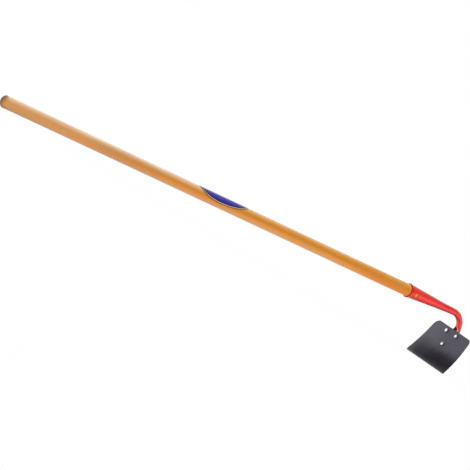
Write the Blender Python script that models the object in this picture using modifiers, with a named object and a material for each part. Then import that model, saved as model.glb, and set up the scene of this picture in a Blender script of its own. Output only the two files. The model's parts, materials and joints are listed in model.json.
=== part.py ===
"""Garden hoe: a long wooden handle held in a forged swan neck with a riveted blade.

Units are metres and +Z is up. The pieces are modelled in the hoe's own frame and hang on
one empty. There +X runs along the handle from the grip to the head, Y is sideways and the
origin is the middle of the socket's mouth. The empty then tips the whole hoe so that it
rests on the grip end and on the blade's cutting edge, with the world's origin under the
middle of its box.
"""
import math

import bmesh
import bpy
from mathutils import Matrix, Vector

# Fit between pieces that touch
GAP = 0.0003

# Handle
HANDLE_DIAMETER = 0.030
HANDLE_REACH = 1.336
HANDLE_INSERT = 0.090
HANDLE_CHAMFER = 0.0015
GRIP_DOME = 0.008
GRIP_FLAT_DIAMETER = 0.010

# Socket of the neck, from its mouth to the solid rod
SOCKET_WALL = 0.0015
SOCKET_LENGTH = 0.100
SOCKET_TIP_DIAMETER = 0.0213
SOCKET_FLOOR_ROOM = 0.002
RIM_STEP = 0.0008
RIM_LENGTH = 0.003

# Rod of the neck: straight run, bend, and the leg that turns down to the blade. The rod
# keeps tapering as far as the end of the bend.
NECK_DIAMETER = 0.0156
NECK_STRAIGHT = 0.161
BEND_RADIUS = 0.040
BEND_ANGLE = math.radians(55.0)
LEG_DROP = 0.0232
LEG_REACH = 0.0050
LEG_FLARE_POWER = 2.5

# Palm: the flattened end of the neck that carries the blade
PALM_ROOT_WIDTH = 0.026
PALM_ROOT_THICKNESS = 0.009
PALM_THICKNESS = 0.005
PALM_LOBE_RADIUS = 0.0095
PALM_EDGE_RADIUS = 0.0016
PALM_SHOULDER_ANGLE = math.radians(72.0)
PALM_SHOULDER_POWER = 1.6
PALM_TIP_ANGLE = math.radians(84.0)
PALM_TIP_POWER = 4

# Hollow that the forging leaves in the foot of the leg, on the handle's side. It lies a
# little to the left, and the sizes are those of the egg that makes it.
HOLLOW_RISE = 0.0024
HOLLOW_SIDE = 0.0025
HOLLOW_WIDTH = 0.0185
HOLLOW_HEIGHT = 0.0110
HOLLOW_DEPTH = 0.0032

# Blade
BLADE_ANGLE = math.radians(70.3)
BLADE_EDGE_WIDTH = 0.160
BLADE_TOP_WIDTH = 0.1430
BLADE_HEIGHT = 0.1046
BLADE_THICKNESS = 0.0025
BLADE_DISH = 0.0042
BLADE_SIDE_SWELL = 0.0008
LEFT_CORNER_RADIUS = 0.016
RIGHT_CORNER_RADIUS = 0.0085
BLADE_EDGE_ROUNDING = 0.0004
GROUND_STRIP = 0.006
CUTTING_EDGE_THICKNESS = 0.0010

# Rivets
RIVET_SPREAD = 0.0408
UPPER_RIVET_DROP = 0.0117
LOWER_RIVET_DROP = 0.0444
RIVET_SHANK_DIAMETER = 0.006
RIVET_HEAD_DIAMETER = 0.0110
RIVET_HEAD_HEIGHT = 0.0030
RIVET_TAIL_DIAMETER = 0.0100
RIVET_TAIL_HEIGHT = 0.0026
RIVET_FLATTENING = 0.30

# Nail that keeps the handle in the socket, a little below the middle of its side
NAIL_SET_BACK = 0.0183
NAIL_TURN = math.radians(6.5)
NAIL_SHANK_DIAMETER = 0.0032
NAIL_LENGTH = 0.022
NAIL_POINT = 0.004
NAIL_HEAD_DIAMETER = 0.0094
NAIL_HEAD_HEIGHT = 0.0026

# Label on top of the handle
LABEL_LENGTH = 0.160
LABEL_HEIGHT = 0.049
LABEL_SET_BACK = 0.635
LABEL_THICKNESS = 0.0003

# Number of faces around round pieces
HANDLE_STEPS = 48
RING_POINTS_PER_CORNER = 8
RIVET_STEPS = 24
DOME_STEPS = 6
HOLLOW_SEGMENTS = 20
LABEL_STEPS_ALONG = 20
LABEL_STEPS_AROUND = 18

# Number of steps along each stretch of a loft
CONE_STEPS = 4
TAPER_STEPS = 5
BEND_STEPS = 7
LEG_STEPS = 9
SHOULDER_STEPS = 4
LOBE_STEPS = 8
CORNER_STEPS = 6
BLADE_STEPS = 8

# Edges sharper than this stay sharp in the smooth shading, and points closer than the
# merge distance are one point
SHARP_ANGLE = math.radians(35.0)
MERGE_DISTANCE = 0.000001

# Rounds of tipping that bring the grip end and the cutting edge level
LEVELLING_ROUNDS = 6

# Colour, roughness and metallic value of each finish
FINISHES = {
    "varnished_wood": ((0.60, 0.29, 0.08), 0.35, 0.0),
    "red_paint": ((0.72, 0.035, 0.022), 0.28, 0.0),
    "dark_steel": ((0.095, 0.095, 0.11), 0.45, 0.3),
    "bright_steel": ((0.70, 0.70, 0.72), 0.25, 1.0),
    "yellow_zinc": ((0.80, 0.48, 0.20), 0.35, 1.0),
    "blue_print": ((0.045, 0.03, 0.30), 0.40, 0.0),
}

HANDLE_RADIUS = HANDLE_DIAMETER / 2
NECK_RADIUS = NECK_DIAMETER / 2
MOUTH_RADIUS = HANDLE_RADIUS + GAP + SOCKET_WALL
SOCKET_SLOPE = (MOUTH_RADIUS - SOCKET_TIP_DIAMETER / 2) / SOCKET_LENGTH
SOCKET_DEPTH = HANDLE_INSERT + SOCKET_FLOOR_ROOM

# The dished blade is a strip of a cylinder that lies on the handle's side of it
DISH_RADIUS = BLADE_HEIGHT ** 2 / (8 * BLADE_DISH) + BLADE_DISH / 2
HALF_DISH_ANGLE = math.asin(BLADE_HEIGHT / 2 / DISH_RADIUS)
BLADE_LENGTH = 2 * HALF_DISH_ANGLE * DISH_RADIUS
TOP_HEADING = math.pi - BLADE_ANGLE - HALF_DISH_ANGLE


def clear_scene():
    """Remove whatever the file holds at the start."""
    for item in list(bpy.data.objects):
        bpy.data.objects.remove(item, do_unlink=True)


def make_collection(name):
    """Return a new collection that is linked to the scene."""
    collection = bpy.data.collections.new(name)
    bpy.context.scene.collection.children.link(collection)
    return collection


def make_material(name):
    """Return a Principled material with the values of a named finish."""
    colour, roughness, metallic = FINISHES[name]
    material = bpy.data.materials.new(name)
    material.use_nodes = True
    shader = material.node_tree.nodes["Principled BSDF"]
    shader.inputs["Base Color"].default_value = (*colour, 1.0)
    shader.inputs["Roughness"].default_value = roughness
    shader.inputs["Metallic"].default_value = metallic
    material.diffuse_color = (*colour, 1.0)
    return material


def add_object(name, mesh, parent, collection, place=None):
    """Add an object to a collection, placed in the frame of its parent."""
    item = bpy.data.objects.new(name, mesh)
    collection.objects.link(item)
    item.parent = parent
    if place is not None:
        item.matrix_local = place
    return item


def dress(item, material):
    """Give a piece its material and smooth shading with sharp edges kept."""
    item.data.materials.append(material)
    item.data.shade_smooth()
    item.data.set_sharp_from_angle(angle=SHARP_ANGLE)


def hide_cutter(item):
    """Keep a cutter out of the model."""
    item.hide_render = True
    item.display_type = "WIRE"


def heading_vector(heading):
    """Return the direction of a heading, measured downward from +X."""
    return Vector((math.cos(heading), 0.0, -math.sin(heading)))


def outward_vector(heading):
    """Return the direction square to a heading, on the side away from the handle."""
    return Vector((math.sin(heading), 0.0, math.cos(heading)))


def axis_matrix(origin, axis):
    """Return the matrix that puts local +Z on an axis through a point."""
    rotation = Vector((0.0, 0.0, 1.0)).rotation_difference(axis)
    return Matrix.Translation(origin) @ rotation.to_matrix().to_4x4()


def turned_mesh(name, profile):
    """Return a mesh of a turned profile, given as (radius, height) from the top down."""
    mesh = bpy.data.meshes.new(name)
    points = [(radius, 0.0, height) for radius, height in profile]
    edges = [(index, index + 1) for index in range(len(points) - 1)]
    mesh.from_pydata(points, edges, [])
    return mesh


def turn(item, steps, smooth=True):
    """Turn an object's profile about its local Z axis into a closed solid.

    A cutter is turned with flat shading, so that the rim of its hole stays sharp.
    """
    screw = item.modifiers.new("turn", "SCREW")
    screw.axis = "Z"
    screw.angle = math.tau
    screw.steps = steps
    screw.render_steps = steps
    screw.use_merge_vertices = True
    screw.merge_threshold = MERGE_DISTANCE
    screw.use_smooth_shade = smooth


def cut(item, cutter):
    """Cut one object out of another."""
    boolean = item.modifiers.new("cut_" + cutter.name, "BOOLEAN")
    boolean.operation = "DIFFERENCE"
    boolean.solver = "EXACT"
    boolean.object = cutter


def dome_profile(radius, low, high, flattening=1.0):
    """Return the points of a dome from its top, at high, down to its rim, at low.

    A flattening under 1 gives the broad, flat top and round shoulder of a hammered head.
    """
    points = []
    for step in range(DOME_STEPS + 1):
        angle = math.pi / 2 * step / DOME_STEPS
        height = math.cos(angle) ** flattening if step < DOME_STEPS else 0.0
        points.append((radius * math.sin(angle), low + (high - low) * height))
    return points


def rounded_ring(half_width, half_thickness, corner):
    """Return the (side, lift) points around a flat bar with rounded corners.

    A corner as large as both halves gives a circle, so one kind of ring serves the round
    rod and the flat palm.
    """
    corner = min(corner, half_width, half_thickness)
    points = []
    for quarter in range(4):
        middle = math.pi / 4 + quarter * math.pi / 2
        side = math.copysign(half_width - corner, math.cos(middle))
        lift = math.copysign(half_thickness - corner, math.sin(middle))
        for step in range(RING_POINTS_PER_CORNER):
            share = (step + 0.5) / RING_POINTS_PER_CORNER
            angle = (quarter + share) * math.pi / 2
            points.append((side + corner * math.cos(angle), lift + corner * math.sin(angle)))
    return points


def section(centre, heading, half_width, half_thickness, corner):
    """Return the points of one ring, square to a heading."""
    outward = outward_vector(heading)
    sideways = Vector((0.0, 1.0, 0.0))
    ring = rounded_ring(half_width, half_thickness, corner)
    return [centre + sideways * side + outward * lift for side, lift in ring]


def loft(name, rings):
    """Return a closed mesh through rings that have the same number of points."""
    shape = bmesh.new()
    rows = [[shape.verts.new(point) for point in ring] for ring in rings]
    for near, far in zip(rows, rows[1:]):
        for index in range(len(near)):
            after = (index + 1) % len(near)
            shape.faces.new((near[index], near[after], far[after], far[index]))
    shape.faces.new(rows[0])
    shape.faces.new(rows[-1])
    bmesh.ops.recalc_face_normals(shape, faces=shape.faces)
    mesh = bpy.data.meshes.new(name)
    shape.to_mesh(mesh)
    shape.free()
    return mesh


def hermite(start, start_slope, end, end_slope, share):
    """Return the value of a smooth curve between two values with given end slopes."""
    square = share * share
    cube = square * share
    return ((2 * cube - 3 * square + 1) * start + (cube - 2 * square + share) * start_slope
            + (3 * square - 2 * cube) * end + (cube - square) * end_slope)


def socket_radius(along):
    """Return the outer radius of the socket's cone at a distance from its mouth."""
    return MOUTH_RADIUS - SOCKET_SLOPE * along


def bore_radius(along):
    """Return the inner radius of the socket at a distance from its mouth."""
    return socket_radius(along) - SOCKET_WALL


def rod_radius(run):
    """Return the rod's radius at a run from the socket's tip, down to the end of the bend."""
    whole = NECK_STRAIGHT - SOCKET_LENGTH + BEND_RADIUS * BEND_ANGLE
    share = min(1.0, run / whole)
    return hermite(SOCKET_TIP_DIAMETER / 2, -SOCKET_SLOPE * whole, NECK_RADIUS, 0.0, share)


def bend_end():
    """Return where the neck's bend hands over to the leg."""
    return Vector((NECK_STRAIGHT + BEND_RADIUS * math.sin(BEND_ANGLE), 0.0,
                   BEND_RADIUS * (math.cos(BEND_ANGLE) - 1.0)))


def palm_root():
    """Return the middle of the neck level with the blade's top edge."""
    return bend_end() + Vector((LEG_REACH, 0.0, -LEG_DROP))


def on_blade(down, side, lift):
    """Return a point at a distance down the blade, to a side, and off its hollow face.

    The hollow face looks at the handle. A positive lift goes through the blade to the
    palm behind it.
    """
    root_lift = BLADE_THICKNESS + GAP + PALM_ROOT_THICKNESS / 2
    dish_centre = palm_root() - outward_vector(TOP_HEADING) * (DISH_RADIUS + root_lift)
    heading = blade_heading(down)
    return (dish_centre + outward_vector(heading) * (DISH_RADIUS + lift)
            + Vector((0.0, side, 0.0)))


def blade_heading(down):
    """Return the heading of the dished blade at a distance from its top edge."""
    return TOP_HEADING + down / DISH_RADIUS


def palm_thickness(down):
    """Return the thickness of the palm, which thins from its root to the upper rivets."""
    thinned = UPPER_RIVET_DROP - RIVET_TAIL_DIAMETER / 2
    share = min(1.0, max(0.0, down / max(thinned, PALM_EDGE_RADIUS)))
    return hermite(PALM_ROOT_THICKNESS, 0.0, PALM_THICKNESS, 0.0, share)


def palm_outline():
    """Return (down, half width) along the palm, a shield of three lobes round the rivets."""
    radius = PALM_LOBE_RADIUS
    half_spread = RIVET_SPREAD / 2
    fall = LOWER_RIVET_DROP - UPPER_RIVET_DROP
    waist_angle = math.atan2(half_spread, fall)
    below_top = min(1.0, UPPER_RIVET_DROP / radius)
    shoulder_angle = -math.asin(math.sin(PALM_SHOULDER_ANGLE) * below_top)
    shoulder = (UPPER_RIVET_DROP + radius * math.sin(shoulder_angle),
                half_spread + radius * math.cos(shoulder_angle))
    outline = []
    for step in range(SHOULDER_STEPS):
        share = step / SHOULDER_STEPS
        spread = (shoulder[1] - PALM_ROOT_WIDTH / 2) * share ** PALM_SHOULDER_POWER
        outline.append((shoulder[0] * share, PALM_ROOT_WIDTH / 2 + spread))
    for step in range(LOBE_STEPS + 1):
        angle = shoulder_angle + (waist_angle - shoulder_angle) * step / LOBE_STEPS
        outline.append((UPPER_RIVET_DROP + radius * math.sin(angle),
                        half_spread + radius * math.cos(angle)))
    for step in range(1, SHOULDER_STEPS):
        share = step / SHOULDER_STEPS
        outline.append((UPPER_RIVET_DROP + fall * share + radius * math.sin(waist_angle),
                        half_spread * (1 - share) + radius * math.cos(waist_angle)))
    for step in range(LOBE_STEPS + 1):
        angle = waist_angle + (PALM_TIP_ANGLE - waist_angle) * step / LOBE_STEPS
        outline.append((LOWER_RIVET_DROP + radius * math.sin(angle), radius * math.cos(angle)))
    return outline


def socket_rings():
    """Return the rings from the mouth's rim to the end of the straight rod."""
    rim = RIM_STEP
    stations = [(0.0, socket_radius(0.0) + rim / 2), (rim, socket_radius(rim) + rim),
                (RIM_LENGTH - rim, socket_radius(RIM_LENGTH) + rim),
                (RIM_LENGTH, socket_radius(RIM_LENGTH))]
    for step in range(1, CONE_STEPS + 1):
        along = RIM_LENGTH + (SOCKET_LENGTH - RIM_LENGTH) * step / CONE_STEPS
        stations.append((along, socket_radius(along)))
    for step in range(1, TAPER_STEPS + 1):
        run = (NECK_STRAIGHT - SOCKET_LENGTH) * step / TAPER_STEPS
        stations.append((SOCKET_LENGTH + run, rod_radius(run)))
    return [section(Vector((along, 0.0, 0.0)), 0.0, radius, radius, radius)
            for along, radius in stations]


def bend_rings():
    """Return the rings around the neck's bend."""
    centre = Vector((NECK_STRAIGHT, 0.0, -BEND_RADIUS))
    rings = []
    for step in range(1, BEND_STEPS + 1):
        heading = BEND_ANGLE * step / BEND_STEPS
        middle = centre + outward_vector(heading) * BEND_RADIUS
        radius = rod_radius(NECK_STRAIGHT - SOCKET_LENGTH + BEND_RADIUS * heading)
        rings.append(section(middle, heading, radius, radius, radius))
    return rings


def leg_rings():
    """Return the rings of the leg, which flattens as it comes down to the blade."""
    start, end = bend_end(), palm_root()
    reach = (end - start).length
    start_slope = heading_vector(BEND_ANGLE) * reach
    end_slope = heading_vector(TOP_HEADING) * reach
    rings = []
    for step in range(1, LEG_STEPS):
        share = step / LEG_STEPS
        middle = hermite(start, start_slope, end, end_slope, share)
        heading = hermite(BEND_ANGLE, 0.0, TOP_HEADING, 0.0, share)
        flare = (PALM_ROOT_WIDTH / 2 - NECK_RADIUS) * share ** LEG_FLARE_POWER
        half_width = NECK_RADIUS + flare
        half_thickness = hermite(NECK_RADIUS, 0.0, PALM_ROOT_THICKNESS / 2, 0.0, share)
        rings.append(section(middle, heading, half_width, half_thickness, half_thickness))
    return rings


def palm_rings():
    """Return the rings of the palm, laid against the back of the blade."""
    outline = palm_outline()
    end = outline[-1][0]
    rings = []
    for down, half_width in outline:
        thickness = palm_thickness(down)
        seat = BLADE_THICKNESS + GAP
        near_end = max(0.0, down - LOWER_RIVET_DROP) / (end - LOWER_RIVET_DROP)
        thickness -= PALM_EDGE_RADIUS * near_end ** PALM_TIP_POWER
        centre = on_blade(down, 0.0, seat + thickness / 2)
        rounding = PALM_ROOT_THICKNESS / 2 if down == 0.0 else PALM_EDGE_RADIUS
        rings.append(section(centre, blade_heading(down), half_width, thickness / 2, rounding))
    return rings


def hollow_cutter(hoe, cutters):
    """Return the egg-shaped cutter of the hollow in the foot of the leg."""
    shape = bmesh.new()
    bmesh.ops.create_uvsphere(shape, u_segments=HOLLOW_SEGMENTS,
                              v_segments=HOLLOW_SEGMENTS // 2, radius=1.0)
    deep = 2 * HOLLOW_DEPTH
    bmesh.ops.scale(shape, vec=(deep, HOLLOW_WIDTH / 2, HOLLOW_HEIGHT / 2), verts=shape.verts)
    mesh = bpy.data.meshes.new("foot_hollow_cutter")
    shape.to_mesh(mesh)
    shape.free()
    foot = palm_root() - outward_vector(TOP_HEADING) * PALM_ROOT_THICKNESS / 2
    middle = foot - heading_vector(TOP_HEADING) * HOLLOW_RISE + Vector((0.0, HOLLOW_SIDE, 0.0))
    middle -= outward_vector(TOP_HEADING) * (deep - HOLLOW_DEPTH)
    across = Matrix.Translation(middle) @ Matrix.Rotation(TOP_HEADING - math.pi / 2, 4, "Y")
    cutter = add_object("foot_hollow_cutter", mesh, hoe, cutters, across)
    hide_cutter(cutter)
    return cutter


def build_neck(hoe, parts, cutters):
    """Build the forging: socket, swan neck and palm in one solid."""
    rings = socket_rings() + bend_rings() + leg_rings() + palm_rings()
    neck = add_object("neck", loft("neck", rings), hoe, parts)
    past_mouth = -2 * RIM_LENGTH
    bore = [(0.0, SOCKET_DEPTH), (bore_radius(SOCKET_DEPTH), SOCKET_DEPTH),
            (bore_radius(past_mouth), past_mouth), (0.0, past_mouth)]
    cutter = add_object("socket_bore_cutter", turned_mesh("socket_bore_cutter", bore), hoe,
                        cutters, axis_matrix(Vector(), Vector((1.0, 0.0, 0.0))))
    turn(cutter, HANDLE_STEPS, smooth=False)
    hide_cutter(cutter)
    cut(neck, cutter)
    cut(neck, hollow_cutter(hoe, cutters))
    dress(neck, make_material("red_paint"))
    return neck


def build_handle(hoe, parts):
    """Build the handle: a rounded grip end, a straight shaft and a tapered insert."""
    end_radius = bore_radius(HANDLE_INSERT) - GAP
    profile = [(0.0, HANDLE_INSERT), (end_radius - HANDLE_CHAMFER, HANDLE_INSERT),
               (bore_radius(HANDLE_INSERT - HANDLE_CHAMFER) - GAP,
                HANDLE_INSERT - HANDLE_CHAMFER),
               (HANDLE_RADIUS, 0.0)]
    flat_radius = GRIP_FLAT_DIAMETER / 2
    for step in range(DOME_STEPS + 1):
        angle = math.pi / 2 * step / DOME_STEPS
        radius = flat_radius + (HANDLE_RADIUS - flat_radius) * math.cos(angle)
        profile.append((radius, -HANDLE_REACH + GRIP_DOME * (1.0 - math.sin(angle))))
    profile.append((0.0, -HANDLE_REACH))
    handle = add_object("handle", turned_mesh("handle", profile), hoe, parts,
                        axis_matrix(Vector(), Vector((1.0, 0.0, 0.0))))
    turn(handle, HANDLE_STEPS)
    dress(handle, make_material("varnished_wood"))
    return handle


def blade_outline():
    """Return (down, left half width, right half width) from the top to the cutting edge."""
    distances = [0.0]
    for radius in (LEFT_CORNER_RADIUS, RIGHT_CORNER_RADIUS):
        for step in range(1, CORNER_STEPS + 1):
            turned_by = math.pi / 2 * step / CORNER_STEPS
            distances.append(radius * (1.0 - math.cos(turned_by)))
    start = max(LEFT_CORNER_RADIUS, RIGHT_CORNER_RADIUS)
    for step in range(1, BLADE_STEPS + 1):
        distances.append(start + (BLADE_LENGTH - GROUND_STRIP - start) * step / BLADE_STEPS)
    distances.append(BLADE_LENGTH)
    outline = []
    for down in sorted(set(distances)):
        share = down / BLADE_LENGTH
        side = BLADE_TOP_WIDTH + (BLADE_EDGE_WIDTH - BLADE_TOP_WIDTH) * share
        side = side / 2 + BLADE_SIDE_SWELL * 4 * share * (1.0 - share)
        widths = []
        for radius in (LEFT_CORNER_RADIUS, RIGHT_CORNER_RADIUS):
            into_corner = max(0.0, radius - down)
            widths.append(side - radius + math.sqrt(radius ** 2 - into_corner ** 2))
        outline.append((down, *widths))
    return outline


def build_blade(hoe, parts):
    """Build the dished blade, ground thin on its hollow face along the cutting edge."""
    rings = []
    for down, left, right in blade_outline():
        into_strip = max(0.0, down - (BLADE_LENGTH - GROUND_STRIP)) / GROUND_STRIP
        ground = (BLADE_THICKNESS - CUTTING_EDGE_THICKNESS) * into_strip
        thickness = BLADE_THICKNESS - ground
        middle = on_blade(down, (left - right) / 2, ground + thickness / 2)
        rings.append(section(middle, blade_heading(down), (left + right) / 2, thickness / 2,
                             BLADE_EDGE_ROUNDING))
    blade = add_object("blade", loft("blade", rings), hoe, parts)
    dress(blade, make_material("dark_steel"))
    return blade


def rivet_places():
    """Return the name of each rivet with its distance down the blade and to the side."""
    return {
        "rivet_left": (UPPER_RIVET_DROP, RIVET_SPREAD / 2),
        "rivet_right": (UPPER_RIVET_DROP, -RIVET_SPREAD / 2),
        "rivet_lower": (LOWER_RIVET_DROP, 0.0),
    }


def rivet_profile(down):
    """Return the turned profile of a rivet, with its round head up and its tail down."""
    head_seat = GAP
    tail_seat = -(BLADE_THICKNESS + GAP + palm_thickness(down) + GAP)
    shank = RIVET_SHANK_DIAMETER / 2
    profile = dome_profile(RIVET_HEAD_DIAMETER / 2, head_seat, head_seat + RIVET_HEAD_HEIGHT,
                           RIVET_FLATTENING)
    profile += [(shank, head_seat), (shank, tail_seat)]
    tail = dome_profile(RIVET_TAIL_DIAMETER / 2, tail_seat, tail_seat - RIVET_TAIL_HEIGHT)
    return profile + tail[::-1]


def build_rivets(hoe, parts, cutters, drilled):
    """Build the three rivets and drill their holes through the blade and the palm."""
    rivets = []
    material = make_material("bright_steel")
    for name, (down, side) in rivet_places().items():
        place = axis_matrix(on_blade(down, side, 0.0), -outward_vector(blade_heading(down)))
        rivet = add_object(name, turned_mesh(name, rivet_profile(down)), hoe, parts, place)
        turn(rivet, RIVET_STEPS)
        dress(rivet, material)
        rivets.append(rivet)
        reach = BLADE_THICKNESS + PALM_ROOT_THICKNESS
        hole = RIVET_SHANK_DIAMETER / 2 + GAP
        profile = [(0.0, reach), (hole, reach), (hole, -2 * reach), (0.0, -2 * reach)]
        cutter = add_object(name + "_cutter", turned_mesh(name + "_cutter", profile), hoe,
                            cutters, place)
        turn(cutter, RIVET_STEPS, smooth=False)
        hide_cutter(cutter)
        for item in drilled:
            cut(item, cutter)
    return rivets


def build_nail(hoe, parts, cutters, drilled):
    """Build the round-headed nail in the socket's side and drill its hole."""
    lean = math.atan(SOCKET_SLOPE)
    aside = Vector((0.0, -math.cos(NAIL_TURN), -math.sin(NAIL_TURN)))
    outward = Vector((math.sin(lean), 0.0, 0.0)) + aside * math.cos(lean)
    surface = Vector((NAIL_SET_BACK, 0.0, 0.0)) + aside * socket_radius(NAIL_SET_BACK)
    place = axis_matrix(surface + outward * GAP, outward)
    shank = NAIL_SHANK_DIAMETER / 2
    profile = dome_profile(NAIL_HEAD_DIAMETER / 2, 0.0, NAIL_HEAD_HEIGHT)
    profile += [(shank, 0.0), (shank, NAIL_POINT - NAIL_LENGTH), (0.0, -NAIL_LENGTH)]
    nail = add_object("socket_nail", turned_mesh("socket_nail", profile), hoe, parts, place)
    turn(nail, RIVET_STEPS)
    dress(nail, make_material("yellow_zinc"))
    hole = shank + GAP
    top, bottom = NAIL_HEAD_HEIGHT, -NAIL_LENGTH - GAP
    profile = [(0.0, top), (hole, top), (hole, bottom), (0.0, bottom)]
    cutter = add_object("nail_cutter", turned_mesh("nail_cutter", profile), hoe, cutters, place)
    turn(cutter, RIVET_STEPS, smooth=False)
    hide_cutter(cutter)
    for item in drilled:
        cut(item, cutter)
    return nail


def build_label(hoe, parts):
    """Build the plain oval label, wrapped over the top of the handle."""
    radius = HANDLE_RADIUS + GAP
    widest = LABEL_HEIGHT / 2 / radius
    shape = bmesh.new()
    bmesh.ops.create_grid(shape, x_segments=LABEL_STEPS_ALONG,
                          y_segments=LABEL_STEPS_AROUND, size=1.0)
    for vertex in shape.verts:
        turn_along = vertex.co.x * math.pi / 2
        around = vertex.co.y * widest * math.cos(turn_along)
        vertex.co = Vector((-LABEL_SET_BACK + LABEL_LENGTH / 2 * math.sin(turn_along),
                            radius * math.sin(around), radius * math.cos(around)))
    bmesh.ops.remove_doubles(shape, verts=shape.verts, dist=MERGE_DISTANCE)
    mesh = bpy.data.meshes.new("label")
    shape.to_mesh(mesh)
    shape.free()
    label = add_object("label", mesh, hoe, parts)
    solidify = label.modifiers.new("thickness", "SOLIDIFY")
    solidify.thickness = LABEL_THICKNESS
    solidify.offset = 1.0
    dress(label, make_material("blue_print"))
    return label


def world_points(items):
    """Return the points of the finished pieces in the world's frame."""
    bpy.context.view_layer.update()
    graph = bpy.context.evaluated_depsgraph_get()
    points = []
    for item in items:
        solid = item.evaluated_get(graph)
        points += [solid.matrix_world @ vertex.co for vertex in solid.data.vertices]
    return points


def stand_on_floor(hoe, handle, blade, pieces):
    """Tip the hoe until the grip end and the cutting edge are level, then set its origin."""
    for _ in range(LEVELLING_ROUNDS):
        grip = min(world_points([handle]), key=lambda point: point.z)
        edge = min(world_points([blade]), key=lambda point: point.z)
        hoe.rotation_euler.y += math.atan2(edge.z - grip.z, edge.x - grip.x)
    points = world_points(pieces)
    middle_x = (min(point.x for point in points) + max(point.x for point in points)) / 2
    middle_y = (min(point.y for point in points) + max(point.y for point in points)) / 2
    hoe.location -= Vector((middle_x, middle_y, min(point.z for point in points)))
    bpy.context.view_layer.update()


def main():
    """Build the garden hoe."""
    clear_scene()
    parts = make_collection("garden_hoe")
    cutters = make_collection("cutters")
    hoe = add_object("stance", None, None, parts)
    handle = build_handle(hoe, parts)
    neck = build_neck(hoe, parts, cutters)
    blade = build_blade(hoe, parts)
    rivets = build_rivets(hoe, parts, cutters, [blade, neck])
    nail = build_nail(hoe, parts, cutters, [neck, handle])
    label = build_label(hoe, parts)
    stand_on_floor(hoe, handle, blade, [handle, neck, blade, *rivets, nail, label])


main()
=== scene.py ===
"""Looks of the garden hoe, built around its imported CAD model.

Units are metres. Every piece is modelled in the hoe's own frame: +X runs along the handle
from the grip to the head, Y is sideways, +Z points away from the blade and the origin is the
middle of the socket's mouth. Stance puts that frame where the CAD model has it.
"""
import json
import logging
import math
from collections.abc import Iterable, Sequence
from dataclasses import dataclass, field
from enum import Enum
from functools import cached_property

import bmesh
import bpy
from mathutils import Matrix, Vector, noise


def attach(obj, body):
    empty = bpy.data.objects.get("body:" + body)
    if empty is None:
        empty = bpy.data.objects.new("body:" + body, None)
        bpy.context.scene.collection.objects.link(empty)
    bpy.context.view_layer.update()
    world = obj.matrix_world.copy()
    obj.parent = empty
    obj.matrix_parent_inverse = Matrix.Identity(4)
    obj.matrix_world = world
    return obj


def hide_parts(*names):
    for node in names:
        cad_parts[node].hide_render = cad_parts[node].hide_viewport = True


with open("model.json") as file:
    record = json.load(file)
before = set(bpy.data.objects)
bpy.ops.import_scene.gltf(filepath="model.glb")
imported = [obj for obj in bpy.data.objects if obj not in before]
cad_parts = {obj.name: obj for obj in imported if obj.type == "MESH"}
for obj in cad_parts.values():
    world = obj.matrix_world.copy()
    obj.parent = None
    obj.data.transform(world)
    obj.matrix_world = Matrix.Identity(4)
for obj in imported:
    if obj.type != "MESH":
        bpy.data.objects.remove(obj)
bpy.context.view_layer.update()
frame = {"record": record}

BODY = "root"
SIDEWAYS = Vector((0.0, 1.0, 0.0))
WHITE = (1.0, 1.0, 1.0)
RIGHT_ANGLE = math.pi / 2
SHARP_ANGLE = math.radians(38.0)
Colour = tuple[float, float, float]
Band = tuple[float, ...]
Point2 = tuple[float, float]

log = logging.getLogger("garden_hoe")


class Op(Enum):
    """Operations of the Math node that the finishes use."""

    ADD = "ADD"
    SUBTRACT = "SUBTRACT"
    MULTIPLY = "MULTIPLY"
    DIVIDE = "DIVIDE"
    MAXIMUM = "MAXIMUM"
    FRACTION = "FRACT"
    ROOT = "SQRT"
    ARCTANGENT = "ARCTAN2"


class Blend(Enum):
    """Ways in which a Mix node lays one colour over another."""

    COVER = "MIX"
    TINT = "MULTIPLY"


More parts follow.
